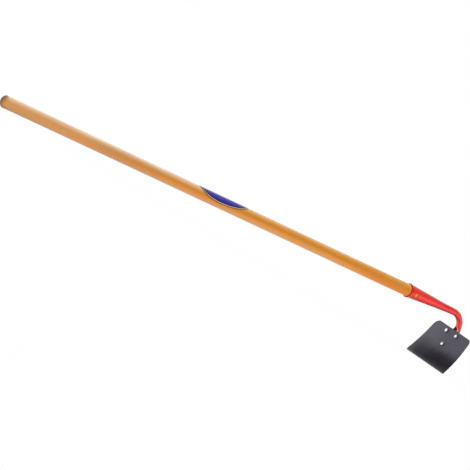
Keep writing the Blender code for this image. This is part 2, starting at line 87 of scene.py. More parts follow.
class Wire:
    """One output of a shader node that takes part in Python arithmetic.

    An expression on wires adds the Math nodes that work it out.
    """

    def __init__(self, graph: "Graph", socket: bpy.types.NodeSocket) -> None:
        """Keep the graph and the socket."""
        self.graph = graph
        self.socket = socket

    def __add__(self, other: "Wire | float") -> "Wire":
        """Return the sum."""
        return self.graph.math(Op.ADD, self, other)

    def __radd__(self, other: float) -> "Wire":
        """Return the sum with a number on the left."""
        return self.graph.math(Op.ADD, other, self)

    def __sub__(self, other: "Wire | float") -> "Wire":
        """Return the difference."""
        return self.graph.math(Op.SUBTRACT, self, other)

    def __rsub__(self, other: float) -> "Wire":
        """Return the difference with a number on the left."""
        return self.graph.math(Op.SUBTRACT, other, self)

    def __mul__(self, other: "Wire | float") -> "Wire":
        """Return the product."""
        return self.graph.math(Op.MULTIPLY, self, other)

    def __rmul__(self, other: float) -> "Wire":
        """Return the product with a number on the left."""
        return self.graph.math(Op.MULTIPLY, other, self)

    def __truediv__(self, other: "Wire | float") -> "Wire":
        """Return the quotient."""
        return self.graph.math(Op.DIVIDE, self, other)

    def __rtruediv__(self, other: float) -> "Wire":
        """Return the quotient with a number on the left."""
        return self.graph.math(Op.DIVIDE, other, self)

    def also(self, name: str) -> "Wire":
        """Return another output of the same node."""
        return Wire(self.graph, self.socket.node.outputs[name])

    def at_least(self, least: "Wire | float") -> "Wire":
        """Return the greater of this value and another."""
        return self.graph.math(Op.MAXIMUM, self, least)

    def hypotenuse(self, other: "Wire") -> "Wire":
        """Return the length of the diagonal over this value and another."""
        return self.graph.math(Op.ROOT, self * self + other * other)

    def step(self, start: float, end: float) -> "Wire":
        """Return a smooth step of this value, 0 at the start and 1 at the end."""
        return self.graph.node("ShaderNodeMapRange", {"interpolation_type": "SMOOTHSTEP"},
                               {"Value": self, "From Min": start, "From Max": end})

    def split(self) -> tuple["Wire", "Wire", "Wire"]:
        """Return the X, the Y and the Z of this place."""
        parts = self.graph.node("ShaderNodeSeparateXYZ", None, {"Vector": self}, "X")
        return parts, parts.also("Y"), parts.also("Z")

    def stretch(self, x: float = 1.0, y: float = 1.0, z: float = 1.0) -> "Wire":
        """Return this place with each axis scaled by itself."""
        return self.graph.vector("MULTIPLY", self, (x, y, z), "Vector")

    def along(self, direction: Vector) -> "Wire":
        """Return how far this place lies along a direction."""
        return self.graph.vector("DOT_PRODUCT", self, direction, "Value")

    def distance(self, point: Vector) -> "Wire":
        """Return how far this place lies from a point."""
        return self.graph.vector("DISTANCE", self, point, "Value")

    def band(self, edges: Band) -> "Wire":
        """Mask a band of this value.

        Args:
            edges: Two values between which the band comes in, from 0 to 1, and two more
                between which it goes out again, if it does.

        Returns:
            The wire of the mask.
        """
        inside = self.step(*edges[:2])
        return inside * self.step(edges[3], edges[2]) if edges[2:] else inside

    def bump(self, distance: float, strength: float) -> "Wire":
        """Return the normal of a surface that this height, times a distance, raises."""
        return self.graph.node("ShaderNodeBump", None,
                               {"Height": self, "Distance": distance, "Strength": strength})


Measures = dict[str, Wire]


class Graph:
    """The shader nodes of one material or world."""

    MIX_FACTOR, MIX_UNDER, MIX_OVER, MIX_RESULT = 0, 6, 7, 2

    def __init__(self, owner: bpy.types.Material | bpy.types.World) -> None:
        """Start an empty node tree.

        Args:
            owner: The material or world that the nodes belong to.
        """
        owner.use_nodes = True
        self.tree = owner.node_tree
        self.tree.nodes.clear()

    def node(self, kind: str, settings: dict[str, object] | None = None,
             inputs: dict[str | int, object] | None = None, output: str | int = 0) -> Wire:
        """Add a node.

        Args:
            kind: The node's type.
            settings: Its properties, set first.
            inputs: A value or a wire for each socket that is set.
            output: The output that the wire leaves from.

        Returns:
            The wire from that output.
        """
        made = self.tree.nodes.new(kind)
        for name, value in (settings or {}).items():
            setattr(made, name, value)
        for key, value in (inputs or {}).items():
            self._feed(made.inputs[key], value)
        return Wire(self, made.outputs[output] if len(made.outputs) else None)

    def _feed(self, socket: bpy.types.NodeSocket, value: object) -> None:
        """Link a wire to a socket, or write a value on it.

        Args:
            socket: The input socket.
            value: A wire, a number, a vector or a colour.
        """
        if isinstance(value, Wire):
            self.tree.links.new(value.socket, socket)
        elif socket.type == "RGBA":
            socket.default_value = (*value, 1.0)
        else:
            socket.default_value = value

    def math(self, operation: Op, *values: Wire | float) -> Wire:
        """Return the wire of a Math node."""
        return self.node("ShaderNodeMath", {"operation": operation.value},
                         dict(enumerate(values)))

    def vector(self, operation: str, place: Wire, other: Sequence[float], output: str) -> Wire:
        """Return the wire of a Vector Math node."""
        return self.node("ShaderNodeVectorMath", {"operation": operation},
                         {0: place, 1: tuple(other)}, output)

    def mix(self, factor: Wire | float, under: Wire | Colour, over: Wire | Colour,
            blend: Blend = Blend.COVER, label: str = "") -> Wire:
        """Lay one colour over another.

        Args:
            factor: How much of the upper colour shows.
            under: The lower colour.
            over: The upper colour.
            blend: The way in which they mix.
            label: What the node is called.

        Returns:
            The wire of the mixed colour.
        """
        return self.node("ShaderNodeMix",
                         {"data_type": "RGBA", "blend_type": blend.value, "label": label},
                         {self.MIX_FACTOR: factor, self.MIX_UNDER: under, self.MIX_OVER: over},
                         self.MIX_RESULT)


@dataclass(frozen=True)
class Grain:
    """Soft noise on a surface, drawn out along an axis whose scale is small.

    The scale is the number of blotches in a metre. Detail and roughness say how many finer
    layers there are and how strong they are.
    """

    scale: float
    detail: float = 2.0
    roughness: float = 0.5
    x: float = 1.0
    y: float = 1.0

    def at(self, place: Wire) -> Wire:
        """Return the noise at a place, from 0 to 1."""
        return place.graph.node("ShaderNodeTexNoise", None, {
            "Vector": place.stretch(self.x, self.y), "Scale": self.scale,
            "Detail": self.detail, "Roughness": self.roughness}, "Fac")


@dataclass(frozen=True)
class Patch:
    """A colour laid over part of a surface.

    Each band is masked on one of the surface's named measures. The share names a measure
    from 0 to 1 that the patch follows as it is.
    """

    name: str
    colour: "Colour | Tone"
    strength: float
    bands: dict[str, Band]
    share: str = ""
    blend: Blend = Blend.COVER

    def mask(self, measures: Measures) -> Wire:
        """Work out how much of the patch shows.

        Args:
            measures: The surface's named measures.

        Returns:
            The wire of the mask, from 0 to the patch's strength.
        """
        shown = self.strength
        for name, edges in self.bands.items():
            shown = shown * measures[name].band(edges)
        return shown * measures[self.share] if self.share else shown


@dataclass(frozen=True)
class Tone:
    """A colour with the patches that are laid over it, in order."""

    base: Colour
    patches: tuple[Patch, ...]

    def paint(self, graph: Graph, measures: Measures) -> Wire | Colour:
        """Lay the patches over the base.

        Args:
            graph: The graph that mixes the colours.
            measures: The surface's named measures.

        Returns:
            The painted colour.
        """
        painted = self.base
        for patch in self.patches:
            colour = patch.colour
            if isinstance(colour, Tone):
                colour = colour.paint(graph, measures)
            painted = graph.mix(patch.mask(measures), painted, colour, patch.blend, patch.name)
        return painted


class Finish:
    """A finish whose pattern is laid out in the hoe's own frame."""

    name: str

    def dress(self, place: Wire) -> dict[str, Wire | float]:
        """Return what feeds each socket of the surface's shader at a place."""
        raise NotImplementedError

    def material(self, stance: "Stance") -> bpy.types.Material:
        """Make the material.

        Args:
            stance: Where the hoe's frame is.

        Returns:
            The material.
        """
        material = bpy.data.materials.new(self.name)
        graph = Graph(material)
        place = graph.node("ShaderNodeMapping", {"vector_type": "TEXTURE"},
                           {"Vector": graph.node("ShaderNodeTexCoord", output="Object"),
                            "Location": tuple(stance.matrix.to_translation()),
                            "Rotation": tuple(stance.matrix.to_euler())})
        shader = graph.node("ShaderNodeBsdfPrincipled", None, self.dress(place))
        graph.node("ShaderNodeOutputMaterial", None, {"Surface": shader})
        return material


def fixed_vector(x: float, y: float, z: float) -> Vector:
    """Return a dataclass field that holds a place or a direction."""
    return field(default_factory=lambda: Vector((x, y, z)))


@dataclass(frozen=True)
class VarnishedWood(Finish):
    """Straight-grained pale wood under clear varnish, more golden towards the head.

    Its upper side is paler as a painted highlight, and its lower side lighter as painted
    light. Its short streaks are warm or olive. It is duller in a stretch before the label.
    Painted shade darkens it along the label's edge, darkens and reddens it in the joint with
    the socket, and darkens the far side and lower edge of the grip end. A painted highlight
    rings it just before the joint, and the grip's end face is brighter orange, partly as end
    wood and partly as painted light.
    """

    AMBER = (0.80, 0.245, 0.018)
    LATEWOOD = (0.84, 0.72, 0.60)
    GRIP_SHADE = (0.175, 0.098, 0.048)

    handle: "Handle"
    film: "PrintedFilm"
    name: str = "varnished_wood"
    tone: Tone = Tone((0.645, 0.322, 0.102), (
        Patch("golden to the head", (0.605, 0.227, 0.006), 1.0, {"slant": (-1.16, -0.71)}),
        # Painted light: the lower half of the handle is lighter, as if lit from below.
        Patch("belly", Tone((0.675, 0.353, 0.130), (
            Patch("golden to the head", (0.80, 0.33, 0.064), 1.0, {"slant": (-1.16, -0.71)}),
            Patch("amber by the head", AMBER, 1.0, {"along": (-0.25, -0.08)}),
        )), 1.0, {"rise": (0.15, -0.40)}),
        # Painted light: a paler, greyer lower edge, as a painted sheen, fading out near the
        # head.
        Patch("underside", (0.68, 0.385, 0.20), 0.8,
              {"rise": (-0.40, -0.80), "along": (-0.12, -0.32)}),
        Patch("amber streaks", AMBER, 0.3, {"streak": (0.42, 0.72)}),
        # Painted highlight: the upper side is paler where light from above would fall, less so
        # towards the head.
        Patch("sapwood", Tone((0.94, 0.66, 0.44), (
            Patch("golden to the head", (0.90, 0.47, 0.12), 1.0, {"along": (-0.78, -0.46)}),
            Patch("deeper by the head", (0.88, 0.43, 0.03), 1.0, {"along": (-0.32, -0.12)}),
        )), 1.0, {}, "top_highlight"),
        Patch("dusky stretch", (0.90, 0.89, 0.93), 1.0,
              {"along": (-1.10, -1.00, -0.92, -0.76)}, "outside_top_highlight", Blend.TINT),
        Patch("warm figure", (1.0, 0.93, 0.78), 0.9, {"figure": (0.50, 0.70)}, "",
              Blend.TINT),
        Patch("olive figure", (0.92, 0.98, 0.92), 0.9, {"figure": (0.50, 0.30)}, "",
              Blend.TINT),
        Patch("latewood", LATEWOOD, 0.75, {}, "late", Blend.TINT),
        Patch("fibres", LATEWOOD, 0.22, {"fibre": (0.35, 0.75)}, "", Blend.TINT),
        Patch("pores", (0.52, 0.36, 0.26), 0.45, {}, "pores", Blend.TINT),
        # The grip's end face is brighter orange: partly the end wood's own colour, partly
        # painted light.
        Patch("end wood", (0.84, 0.34, 0.085), 0.65, {}, "to_end"),
        # Painted shade: the far side of the grip end's dome and the lower edge near the grip are
        # darker.
        Patch("soiled far side", GRIP_SHADE, 1.0, {}, "painted_shade"),
        Patch("soiled below", GRIP_SHADE, 0.36,
              {"height": (-0.0080, -0.0125), "from_grip": (0.018, 0.009)}),
        # Painted shade: a dark line on the wood along the label's edge.
        Patch("grime by the label", (0.42, 0.26, 0.16), 0.8,
              {"beside_label": (-0.0002, 0.0, 0.0010, 0.0020)}, "", Blend.TINT),
        # Painted highlight: a paler ring on the wood just before the socket's mouth.
        Patch("worn ring", (0.86, 0.255, 0.065), 0.6,
              {"along": (-0.0062, -0.0048, -0.0026, -0.0012)}),
        # Painted shade: the wood turns darker and redder right at the socket's mouth.
        Patch("reddish joint", (0.96, 0.44, 0.38), 1.0, {"along": (-0.0026, -0.0012)}, "",
              Blend.TINT),
    ))
    sway: Grain = Grain(9.0, x=0.18)
    jitter: Grain = Grain(260.0, 3.0, x=0.035)
    streak: Grain = Grain(190.0, 2.0, 0.6, x=0.035)
    fibre: Grain = Grain(1500.0, 2.0, 0.6, x=0.02)
    pore: Grain = Grain(2100.0, 1.0, x=0.05)
    figure: Grain = Grain(230.0, 2.0, 0.55, x=0.20)
    pith: Vector = fixed_vector(0.0, 0.034, -0.047)
    pith_sway: Vector = fixed_vector(0.0, 0.010, 0.006)
    ring_spacing: float = 0.0021
    ring_jitter: float = 0.0009
    late_band: Band = (0.45, 0.96, 0.965, 1.0)
    pore_band: Band = (0.66, 0.74)
    rise_sway: float = 0.3
    slant: float = 0.38
    # Band and strength of the painted top highlight.
    top_highlight_band: Band = (0.30, 0.98)
    top_highlight_strength: float = 0.95
    top_highlight_loss: float = 0.4
    top_highlight_loss_band: Band = (-0.8, 0.1)
    end_band: Band = (0.008, 0.003)
    # Where the painted shade on the far side of the grip end falls.
    far_side: Vector = fixed_vector(-0.777, 0.612, 0.142)
    far_side_jitter: float = 0.002
    painted_shade_bands: tuple[tuple[float, Band], ...] = ((0.42, (-0.0022, 0.0034)),
                                                    (0.58, (0.0006, 0.0080)))

    def dress(self, place: Wire) -> dict[str, Wire | float]:
        """Lay out rings, fibres and wear.

        Args:
            place: The place on the surface.

        Returns:
            What feeds each socket of the shader.
        """
        along, side, height = place.split()
        sway = self.sway.at(place) - 0.5
        from_pith = (side - self.pith.y + sway * self.pith_sway.y).hypotenuse(
            height - self.pith.z + sway * self.pith_sway.z)
        rings = (from_pith + self.jitter.at(place) * self.ring_jitter) / self.ring_spacing
        late = place.graph.math(Op.FRACTION, rings).band(self.late_band)
        streak, fibre = self.streak.at(place), self.fibre.at(place)
        pores = self.pore.at(place).band(self.pore_band) * (1.0 - late)
        rise = height / self.handle.radius + sway * self.rise_sway
        # The painted top highlight: strongest near the grip, weaker towards the head.
        kept = self.top_highlight_strength - along.band(self.top_highlight_loss_band) * self.top_highlight_loss
        top_highlight = rise.band(self.top_highlight_band) * kept
        from_grip = along + self.handle.reach
        to_end = from_grip.band(self.end_band)
        # Painted shade on the far side of the grip end, across its dome.
        dome_end = (self.handle.grip_dome - self.handle.reach) * self.far_side.x
        far = place.along(self.far_side) + (streak - 0.5) * self.far_side_jitter - dome_end
        painted_shade = sum(far.band(edges) * strength for strength, edges in self.painted_shade_bands)
        measures = {
            "along": along, "height": height, "rise": rise, "slant": along - rise * self.slant,
            "streak": streak, "fibre": fibre, "figure": self.figure.at(place),
            "pores": pores, "late": late, "top_highlight": top_highlight, "outside_top_highlight": 1.0 - top_highlight,
            "from_grip": from_grip, "to_end": to_end, "painted_shade": painted_shade,
            "beside_label": 0.0 - self.film.inside(place),
        }
        return {
            "Base Color": self.tone.paint(place.graph, measures),
            "Roughness": 0.42 + fibre * 0.10 + to_end * 0.12,
            "Specular IOR Level": 0.14,
            "Sheen Weight": 0.4,
            "Sheen Roughness": 0.4,
            "Normal": (late * 0.5 + fibre * 0.3 - pores * 0.5).bump(0.00012, 0.6),
        }


@dataclass(frozen=True)
class RedEnamel(Finish):
    """Glossy red paint over forged steel, with the soft unevenness of a dipped coat.

    Painted highlights make lighter, pinker bands along the rod and the leg, and painted
    shade darkens its top, its lower side, its rims and the inside of the bend. It is darker
    and browner towards the socket's mouth and at the lip, partly as painted shade in the
    joint. Painted shade marks the nail's shadow and the hollow of the foot, and a painted
    highlight the hollow's lip.
    """

    DEEP = (0.66, 0.014, 0.008)
    # Colour of the painted highlights on the red forging.
    HIGHLIGHT_RED = (0.94, 0.078, 0.086)

    neck: "Neck"
    name: str = "red_enamel"
    tone: Tone = Tone(DEEP, (
        Patch("red", (0.80, 0.038, 0.025), 1.0, {"cloud": (0.30, 0.62)}),
        Patch("bright", (0.86, 0.050, 0.036), 1.0, {"cloud": (0.55, 0.80)}),
        # Painted shade: the rod is deeper red on top and darker and greyer below.
        Patch("deep top", DEEP, 0.9, {"rise": (0.15, 0.80)}, "rod"),
        Patch("underside", (0.66, 0.048, 0.040), 1.0, {"rise": (-0.20, -0.50)}, "rod"),
        # Painted highlights: lighter, pinker bands on the rod's lower flank and on the leg.
        Patch("rosy band", HIGHLIGHT_RED, 0.9, {"rise": (-0.52, -0.26, 0.02, 0.25)}, "rod"),
        Patch("rosy side", HIGHLIGHT_RED, 0.35, {"beside_leg": (-0.002, 0.001)}, "leg"),
        Patch("rosy inner edge", HIGHLIGHT_RED, 0.5,
              {"outer": (0.1740, 0.1722), "height": (-0.033, -0.027)}, "leg"),
        # Painted shade on the leg just below the bend.
        Patch("shade below the bend", DEEP, 0.6,
              {"outer": (0.1730, 0.1745, 0.1765, 0.1790),
               "height": (-0.0165, -0.0145, -0.0085, -0.0065)}),
        Patch("glow of the leg", HIGHLIGHT_RED, 0.5,
              {"height": (-0.031, -0.026, -0.0215, -0.0180)}, "leg"),
        # Painted shade along the rod's upper rim and in the inner crease of the bend.
        Patch("rim", (0.46, 0.055, 0.042), 0.7, {"rise": (0.64, 0.96)}, "rod"),
        Patch("crook", (0.38, 0.026, 0.020), 0.7,
              {"rise": (-0.66, -0.98), "along": (0.156, 0.175)}, "rod"),
        # Painted highlight along the lower edge of the leg's top.
        Patch("pale edge", (0.92, 0.20, 0.16), 0.8,
              {"rise": (-0.64, -0.92), "height": (-0.011, -0.017)}),
        # Painted shade along the rims of the bend and the leg.
        Patch("rim of the bend", (0.50, 0.098, 0.070), 0.8,
              {"rise": (0.34, 0.62), "along": (0.148, 0.166), "height": (-0.005, -0.001)}),
        Patch("rim of the leg", (0.48, 0.130, 0.124), 0.85,
              {"outer": (0.1800, 0.1832), "along": (0.17, 0.18), "height": (-0.001, -0.005)}),
        Patch("specks", DEEP, 0.35, {}, "speck"),
        # Darker and browner towards the socket's mouth; there the lower side is lighter, as
        # painted light.
        Patch("thin coat", Tone((0.62, 0.014, 0.006), (
            Patch("thin underside", (0.72, 0.082, 0.036), 1.0, {"rise": (0.25, -0.30)}),
        )), 1.0, {"run_down": (0.017, 0.004)}),
        # The lip of the mouth: brown as a bare edge, and darker as painted shade in the joint
        # with the handle.
        Patch("lip", (0.52, 0.042, 0.018), 1.0, {"along": (0.0015, 0.0003)}),
        # Painted shadow: a brown crescent on the socket beside the nail's head.
        Patch("rust by the nail", (0.56, 0.085, 0.014), 1.0, {"from_nail": (0.0076, 0.0058)}),
        # Painted shade: the hollow in the foot of the leg is nearly black, and rougher.
        Patch("soot", (0.075, 0.009, 0.007), 1.0, {}, "hollow_shade"),
        Patch("lit lip of the hollow", (0.95, 0.46, 0.44), 0.8,
              {"by_hollow": (-0.003, -0.007), "from_hollow": (0.96, 1.02, 1.40, 1.70)}),
    ))
    cloud: Grain = Grain(38.0, 3.0)
    peel: Grain = Grain(620.0, 2.0, 0.4)
    speck: Grain = Grain(1900.0, 1.0)
    speck_band: Band = (0.72, 0.78)
    rise_sway: float = 0.3
    run_sway: float = 0.006
    rod_radius: float = 0.0082
    leg_bands: tuple[Band, Band] = ((0.170, 0.180), (-0.012, -0.020))
    leg_side: Vector = fixed_vector(0.742, -0.650, 0.160)
    leg_slope: float = 0.705
    foot_slope: float = 1.1
    foot_height: float = -0.025
    # Middle of the nail's painted shadow, to the side of the nail.
    nail_shadow_spot: Vector = fixed_vector(0.0228, -0.0152, -0.0024)
    hollow_shade_band: Band = (1.02, 0.84)

    def dress(self, place: Wire) -> dict[str, Wire | float]:
        """Lay out the bands of the coat, its rims, rust and soot.

        Args:
            place: The place on the surface.

        Returns:
            What feeds each socket of the shader.
        """
        neck, socket = self.neck, self.neck.socket
        along, side, height = place.split()
        cloud = self.cloud.at(place)
        speck = self.speck.at(place).band(self.speck_band)
        radius = (socket.mouth_radius - along * socket.slope).at_least(self.rod_radius)
        beyond = (along - neck.straight).at_least(0.0)
        outward = beyond.hypotenuse(height + neck.bend_radius) - neck.bend_radius
        leg = along.band(self.leg_bands[0]) * height.band(self.leg_bands[1])
        scale = Vector([1.0 / reach for reach in neck.hollow_reach])
        from_hollow = place.stretch(*scale).distance(neck.hollow_middle * scale)
        hollow_shade = from_hollow.band(self.hollow_shade_band)
        measures = {
            "along": along, "height": height, "cloud": cloud, "speck": speck,
            "rise": outward / radius + (cloud - 0.5) * self.rise_sway,
            "leg": leg, "rod": 1.0 - leg,
            "beside_leg": place.along(self.leg_side) - neck.bend_end.dot(self.leg_side),
            "outer": (along + height * self.leg_slope
                      + (self.foot_height - height).at_least(0.0) * self.foot_slope),
            "run_down": along + (cloud - 0.5) * self.run_sway,
            "from_nail": place.distance(self.nail_shadow_spot),
            "from_hollow": from_hollow, "by_hollow": side - neck.hollow_middle.y,
            "hollow_shade": hollow_shade,
        }
        return {
            "Base Color": self.tone.paint(place.graph, measures),
            "Roughness": 0.24 + cloud * 0.10 + speck * 0.10 + hollow_shade * 0.35,
            "Specular IOR Level": 0.08,
            "Normal": (self.peel.at(place) + cloud * 0.8).bump(0.00018, 0.5),
        }


@dataclass(frozen=True)
class DarkLacquer(Finish):
    """Satin dark grey lacquer on rolled steel, thin where the cutting edge is ground.

    Painted shade darkens it from the top down, less so on the left, and painted light
    makes its left side and its lower left corner paler.
    """

    INK = (0.004, 0.001, 0.010)

    form: "BladeForm"
    name: str = "dark_lacquer"
    tone: Tone = Tone((0.073, 0.071, 0.093), (
        # Painted light: the left side is paler.
        Patch("pale left", (0.096, 0.094, 0.119), 1.0, {"side": (0.0, 0.05)}),
        # Painted shade: darker from the top down towards the cutting edge, less dark on the
        # left.
        Patch("shade", Tone(INK, (
            Patch("dusky left", (0.036, 0.035, 0.048), 1.0, {"side": (-0.03, 0.07)}),
        )), 1.0, {}, "shaded"),
        Patch("bare strip", (0.026, 0.024, 0.026), 1.0, {"wander": (0.84, 1.0)}),
        # Painted light at the lower left corner.
        Patch("left corner", (0.120, 0.118, 0.132), 0.5,
              {"side": (0.050, 0.078), "fallen": (0.10, 0.85)}),
        Patch("grit", INK, 0.5, {"grit": (0.45, 0.80)}),
        Patch("worn edge", (0.16, 0.16, 0.165), 0.6, {}, "edge"),
    ))
    cloud: Grain = Grain(45.0, 4.0, 0.6)
    rolled: Grain = Grain(420.0, y=0.10)
    grit: Grain = Grain(2600.0, 2.0, 0.6)
    wander: float = 0.22
    gentle_band: Band = (0.015, 0.055)
    steep_shade: Band = (0.44, 0.74)
    gentle_shade: Band = (0.26, 0.74)
    edge_band: Band = (0.985, 0.998)
    edge_grit: float = 0.01

    def dress(self, place: Wire) -> dict[str, Wire | float]:
        """Lay out the shade down the blade, its grit and its worn edge.

        Args:
            place: The place on the surface.

        Returns:
            What feeds each socket of the shader.
        """
        side = place.split()[1]
        down = forward_at(self.form.chord_heading)
        top = self.form.point(0.0, 0.0, 0.0)
        fallen = (place.along(down) - top.dot(down)) / self.form.height
        grit, rolled = self.grit.at(place), self.rolled.at(place)
        wander = fallen - side + (self.cloud.at(place) - 0.5) * self.wander
        gentle = side.band(self.gentle_band)
        shaded = (wander.band(self.steep_shade) * (1.0 - gentle)
                  + wander.band(self.gentle_shade) * gentle)
        edge = (fallen + (grit - 0.5) * self.edge_grit).band(self.edge_band)
        measures = {"side": side, "fallen": fallen, "wander": wander, "shaded": shaded,
                    "grit": grit, "edge": edge}
        return {
            "Base Color": self.tone.paint(place.graph, measures),
            "Roughness": 0.20 + rolled * 0.08 + grit * 0.06 - edge * 0.06,
            "Metallic": edge * 0.5,
            "Specular IOR Level": 0.05,
            "Normal": (rolled * 0.5 + grit * 0.5).bump(0.00010, 0.5),
        }


@dataclass(frozen=True)
class BrightMetal(Finish):
    """Plated steel of a fastener's head, with the small marks of the hammer.

    Past shade_from along shade_side, the head is painted as its shaded side: darker,
    rougher and not metallic.
    """

    name: str
    colour: Colour
    shade: Colour
    roughness: float
    # Colour of the head's painted shaded side, and the direction and place where it starts.
    shaded_colour: Colour = (0.56, 0.145, 0.03)
    shade_side: Vector = fixed_vector(0.682, -0.548, 0.484)
    shade_from: float = 1.0
    shade_fade: float = 0.0012
    cloud: Grain = Grain(420.0, 3.0, 0.6)
    scratch: Grain = Grain(5200.0, y=0.12)

    def dress(self, place: Wire) -> dict[str, Wire | float]:
        """Lay out the plating and its tarnish.

        Args:
            place: The place on the surface.

        Returns:
            What feeds each socket of the shader.
        """
        cloud = self.cloud.at(place)
        # Painted shade: past shade_from the head turns darker, rougher and not metallic.
        on_shaded_side = (place.along(self.shade_side) - self.shade_from).step(0.0, self.shade_fade)
        tone = Tone(self.colour, (Patch("cloudy", self.shade, 1.0, {"cloud": (0.35, 0.75)}),
                                  Patch("tarnish", self.shaded_colour, 1.0, {}, "on_shaded_side")))
        return {
            "Base Color": tone.paint(place.graph, {"cloud": cloud, "on_shaded_side": on_shaded_side}),
            "Roughness": self.roughness + cloud * 0.12 + on_shaded_side * 0.4,
            "Metallic": 1.0 - on_shaded_side,
            "Normal": (self.scratch.at(place) + cloud).bump(0.00004, 0.4),
        }


@dataclass(frozen=True)
class PrintedFilm(Finish):
    """A plain blue print with a cream line and a dark line round it, under a faint gloss.

    It is a slightly egg-shaped oval, narrower towards the head. Its tips are violet.
    """

    name: str = "printed_film"
    blue: Colour = (0.034, 0.027, 0.328)
    violet: Colour = (0.012, 0.003, 0.045)
    tip: Colour = (0.060, 0.034, 0.085)
    cream: Colour = (0.68, 0.47, 0.27)
    outline: Colour = (0.055, 0.030, 0.020)
    outline_width: float = 0.0011
    cream_width: float = 0.0016
    violet_width: float = 0.0016
    fade_width: float = 0.0030
    blur: float = 0.00006
    fuzz: Grain = Grain(5200.0)
    fuzz_width: float = 0.00012
    cloud: Grain = Grain(70.0, 3.0)
    centre_x: float = -0.635
    half_length: float = 0.080
    half_arc: float = 0.0245
    taper: float = 0.16
    wrap_radius: float = 0.0153
    least_slope: float = 0.0001
    tips_along: Band = (0.36, 0.72)
    tips_inside: Band = (0.0125, 0.0075)

    def inside(self, place: Wire) -> Wire:
        """Work out how far a place lies inside the oval's edge.

        Args:
            place: The place, in the hoe's own frame.

        Returns:
            The distance in metres, below 0 outside the oval.
        """
        x, side, height = place.split()
        along = (x - self.centre_x) / self.half_length
        angle = place.graph.math(Op.ARCTANGENT, side, height)
        around = angle * self.wrap_radius / self.half_arc / (1.0 - along * self.taper)
        slope = (along / self.half_length).hypotenuse(around / self.half_arc)
        gap = 1.0 - along * along - around * around
        return gap / (2.0 * slope + self.least_slope)

    def dress(self, place: Wire) -> dict[str, Wire | float]:
        """Lay out the lines of the print from its edge inwards.

        Args:
            place: The place on the surface.

        Returns:
            What feeds each socket of the shader.
        """
        cloud = self.cloud.at(place)
        from_middle = (place.split()[0] - self.centre_x) / self.half_length
        cream_from = self.outline_width
        violet_from = cream_from + self.cream_width
        fade_from = violet_from + self.violet_width
        field_tone = Tone(self.blue, (
            Patch("cloudy", self.violet, 0.25, {"cloud": (0.3, 0.8)}),
            Patch("tips", self.tip, 0.8,
                  {"to_tip": self.tips_along, "inside": self.tips_inside}),
        ))
        tone = Tone(self.outline, (
            Patch("cream line", self.cream, 1.0,
                  {"inside": (cream_from - self.blur, cream_from + self.blur)}),
            Patch("violet line", self.violet, 1.0,
                  {"inside": (violet_from - self.blur, violet_from + self.blur)}),
            Patch("field", field_tone, 1.0,
                  {"inside": (fade_from, fade_from + self.fade_width)}),
        ))
        fuzz = (self.fuzz.at(place) - 0.5) * self.fuzz_width
        measures = {"cloud": cloud, "to_tip": from_middle * from_middle,
                    "inside": self.inside(place) + fuzz}
        return {
            "Base Color": tone.paint(place.graph, measures),
            "Roughness": 0.36 + cloud * 0.12,
            "Specular IOR Level": 0.05,
            "Coat Weight": 1.0,
            "Coat IOR": 1.12,
            "Coat Roughness": 0.12,
            "Normal": cloud.bump(0.00006, 0.4),
        }


@dataclass(frozen=True)
class Stance:
    """The hoe's own frame, as the CAD model stands on the floor."""

    matrix: Matrix

    @classmethod
    def from_grip(cls, mount: dict[str, object], reach: float) -> "Stance":
        """Work the frame out from the flat at the end of the grip.

        Args:
            mount: The grip end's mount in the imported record.
            reach: The distance from that flat to the socket's mouth.

        Returns:
            The stance.
        """
        forward = -Vector(mount["axis"]).normalized()
        up = forward.cross(SIDEWAYS).normalized()
        origin = Vector(mount["pos_m"]) + forward * reach
        rotation = Matrix((forward, SIDEWAYS, up)).transposed()
        return cls(Matrix.Translation(origin) @ rotation.to_4x4())

    def place(self, piece: bpy.types.Object, nodes: Sequence[str], slot: str) -> None:
        """Put a finished piece in its place and let it stand for its CAD nodes.

        Args:
            piece: The piece, modelled in the hoe's frame.
            nodes: The CAD nodes that it replaces.
            slot: The record's material slot of its finish. It is not used.
        """
        piece.data.transform(self.matrix)
        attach(piece, BODY)
        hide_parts(*nodes)
        log.info("%s replaces %s, %d faces", piece.name, ", ".join(nodes),
                 len(piece.data.polygons))


def forward_at(heading: float) -> Vector:
    """Return the direction of a heading, measured downward from +X."""
    return Vector((math.cos(heading), 0.0, -math.sin(heading)))


def outward_at(heading: float) -> Vector:
    """Return the direction square to a heading, on the side away from the handle."""
    return Vector((math.sin(heading), 0.0, math.cos(heading)))


def seen_from(azimuth: float, elevation: float) -> Vector:
    """Return the direction that an azimuth and an elevation in radians point to."""
    return Vector((math.sin(azimuth) * math.cos(elevation),
                   -math.cos(azimuth) * math.cos(elevation), math.sin(elevation)))


def ease(start: float | Vector, end: float | Vector, share: float,
         start_slope: float | Vector = 0.0, end_slope: float | Vector = 0.0) -> float | Vector:
    """Blend two values along a smooth curve.

    Args:
        start: The value at share 0.
        end: The value at share 1.
        share: How far along the curve.
        start_slope: The slope at the start.
        end_slope: The slope at the end.

    Returns:
        The value at that share.
    """
    square = share * share
    cube = square * share
    return ((2 * cube - 3 * square + 1) * start + (cube - 2 * square + share) * start_slope
            + (3 * square - 2 * cube) * end + (cube - square) * end_slope)


@dataclass(frozen=True)
class Unevenness:
    """Smooth bumps of a height and about a length. The seed sets one set of them apart."""

    height: float
    length: float
    seed: float

    def at(self, point: Vector) -> float:
        """Return the unevenness at a point, between its height below and above 0."""
        shift = Vector((self.seed, -self.seed, 2.0 * self.seed))
        return self.height * noise.noise(point / self.length + shift)


def shares(count: int, start: float = 0.0, end: float = 1.0) -> list[float]:
    """Return evenly spaced values from start to end, both included."""
    return [start + (end - start) * index / (count - 1) for index in range(count)]


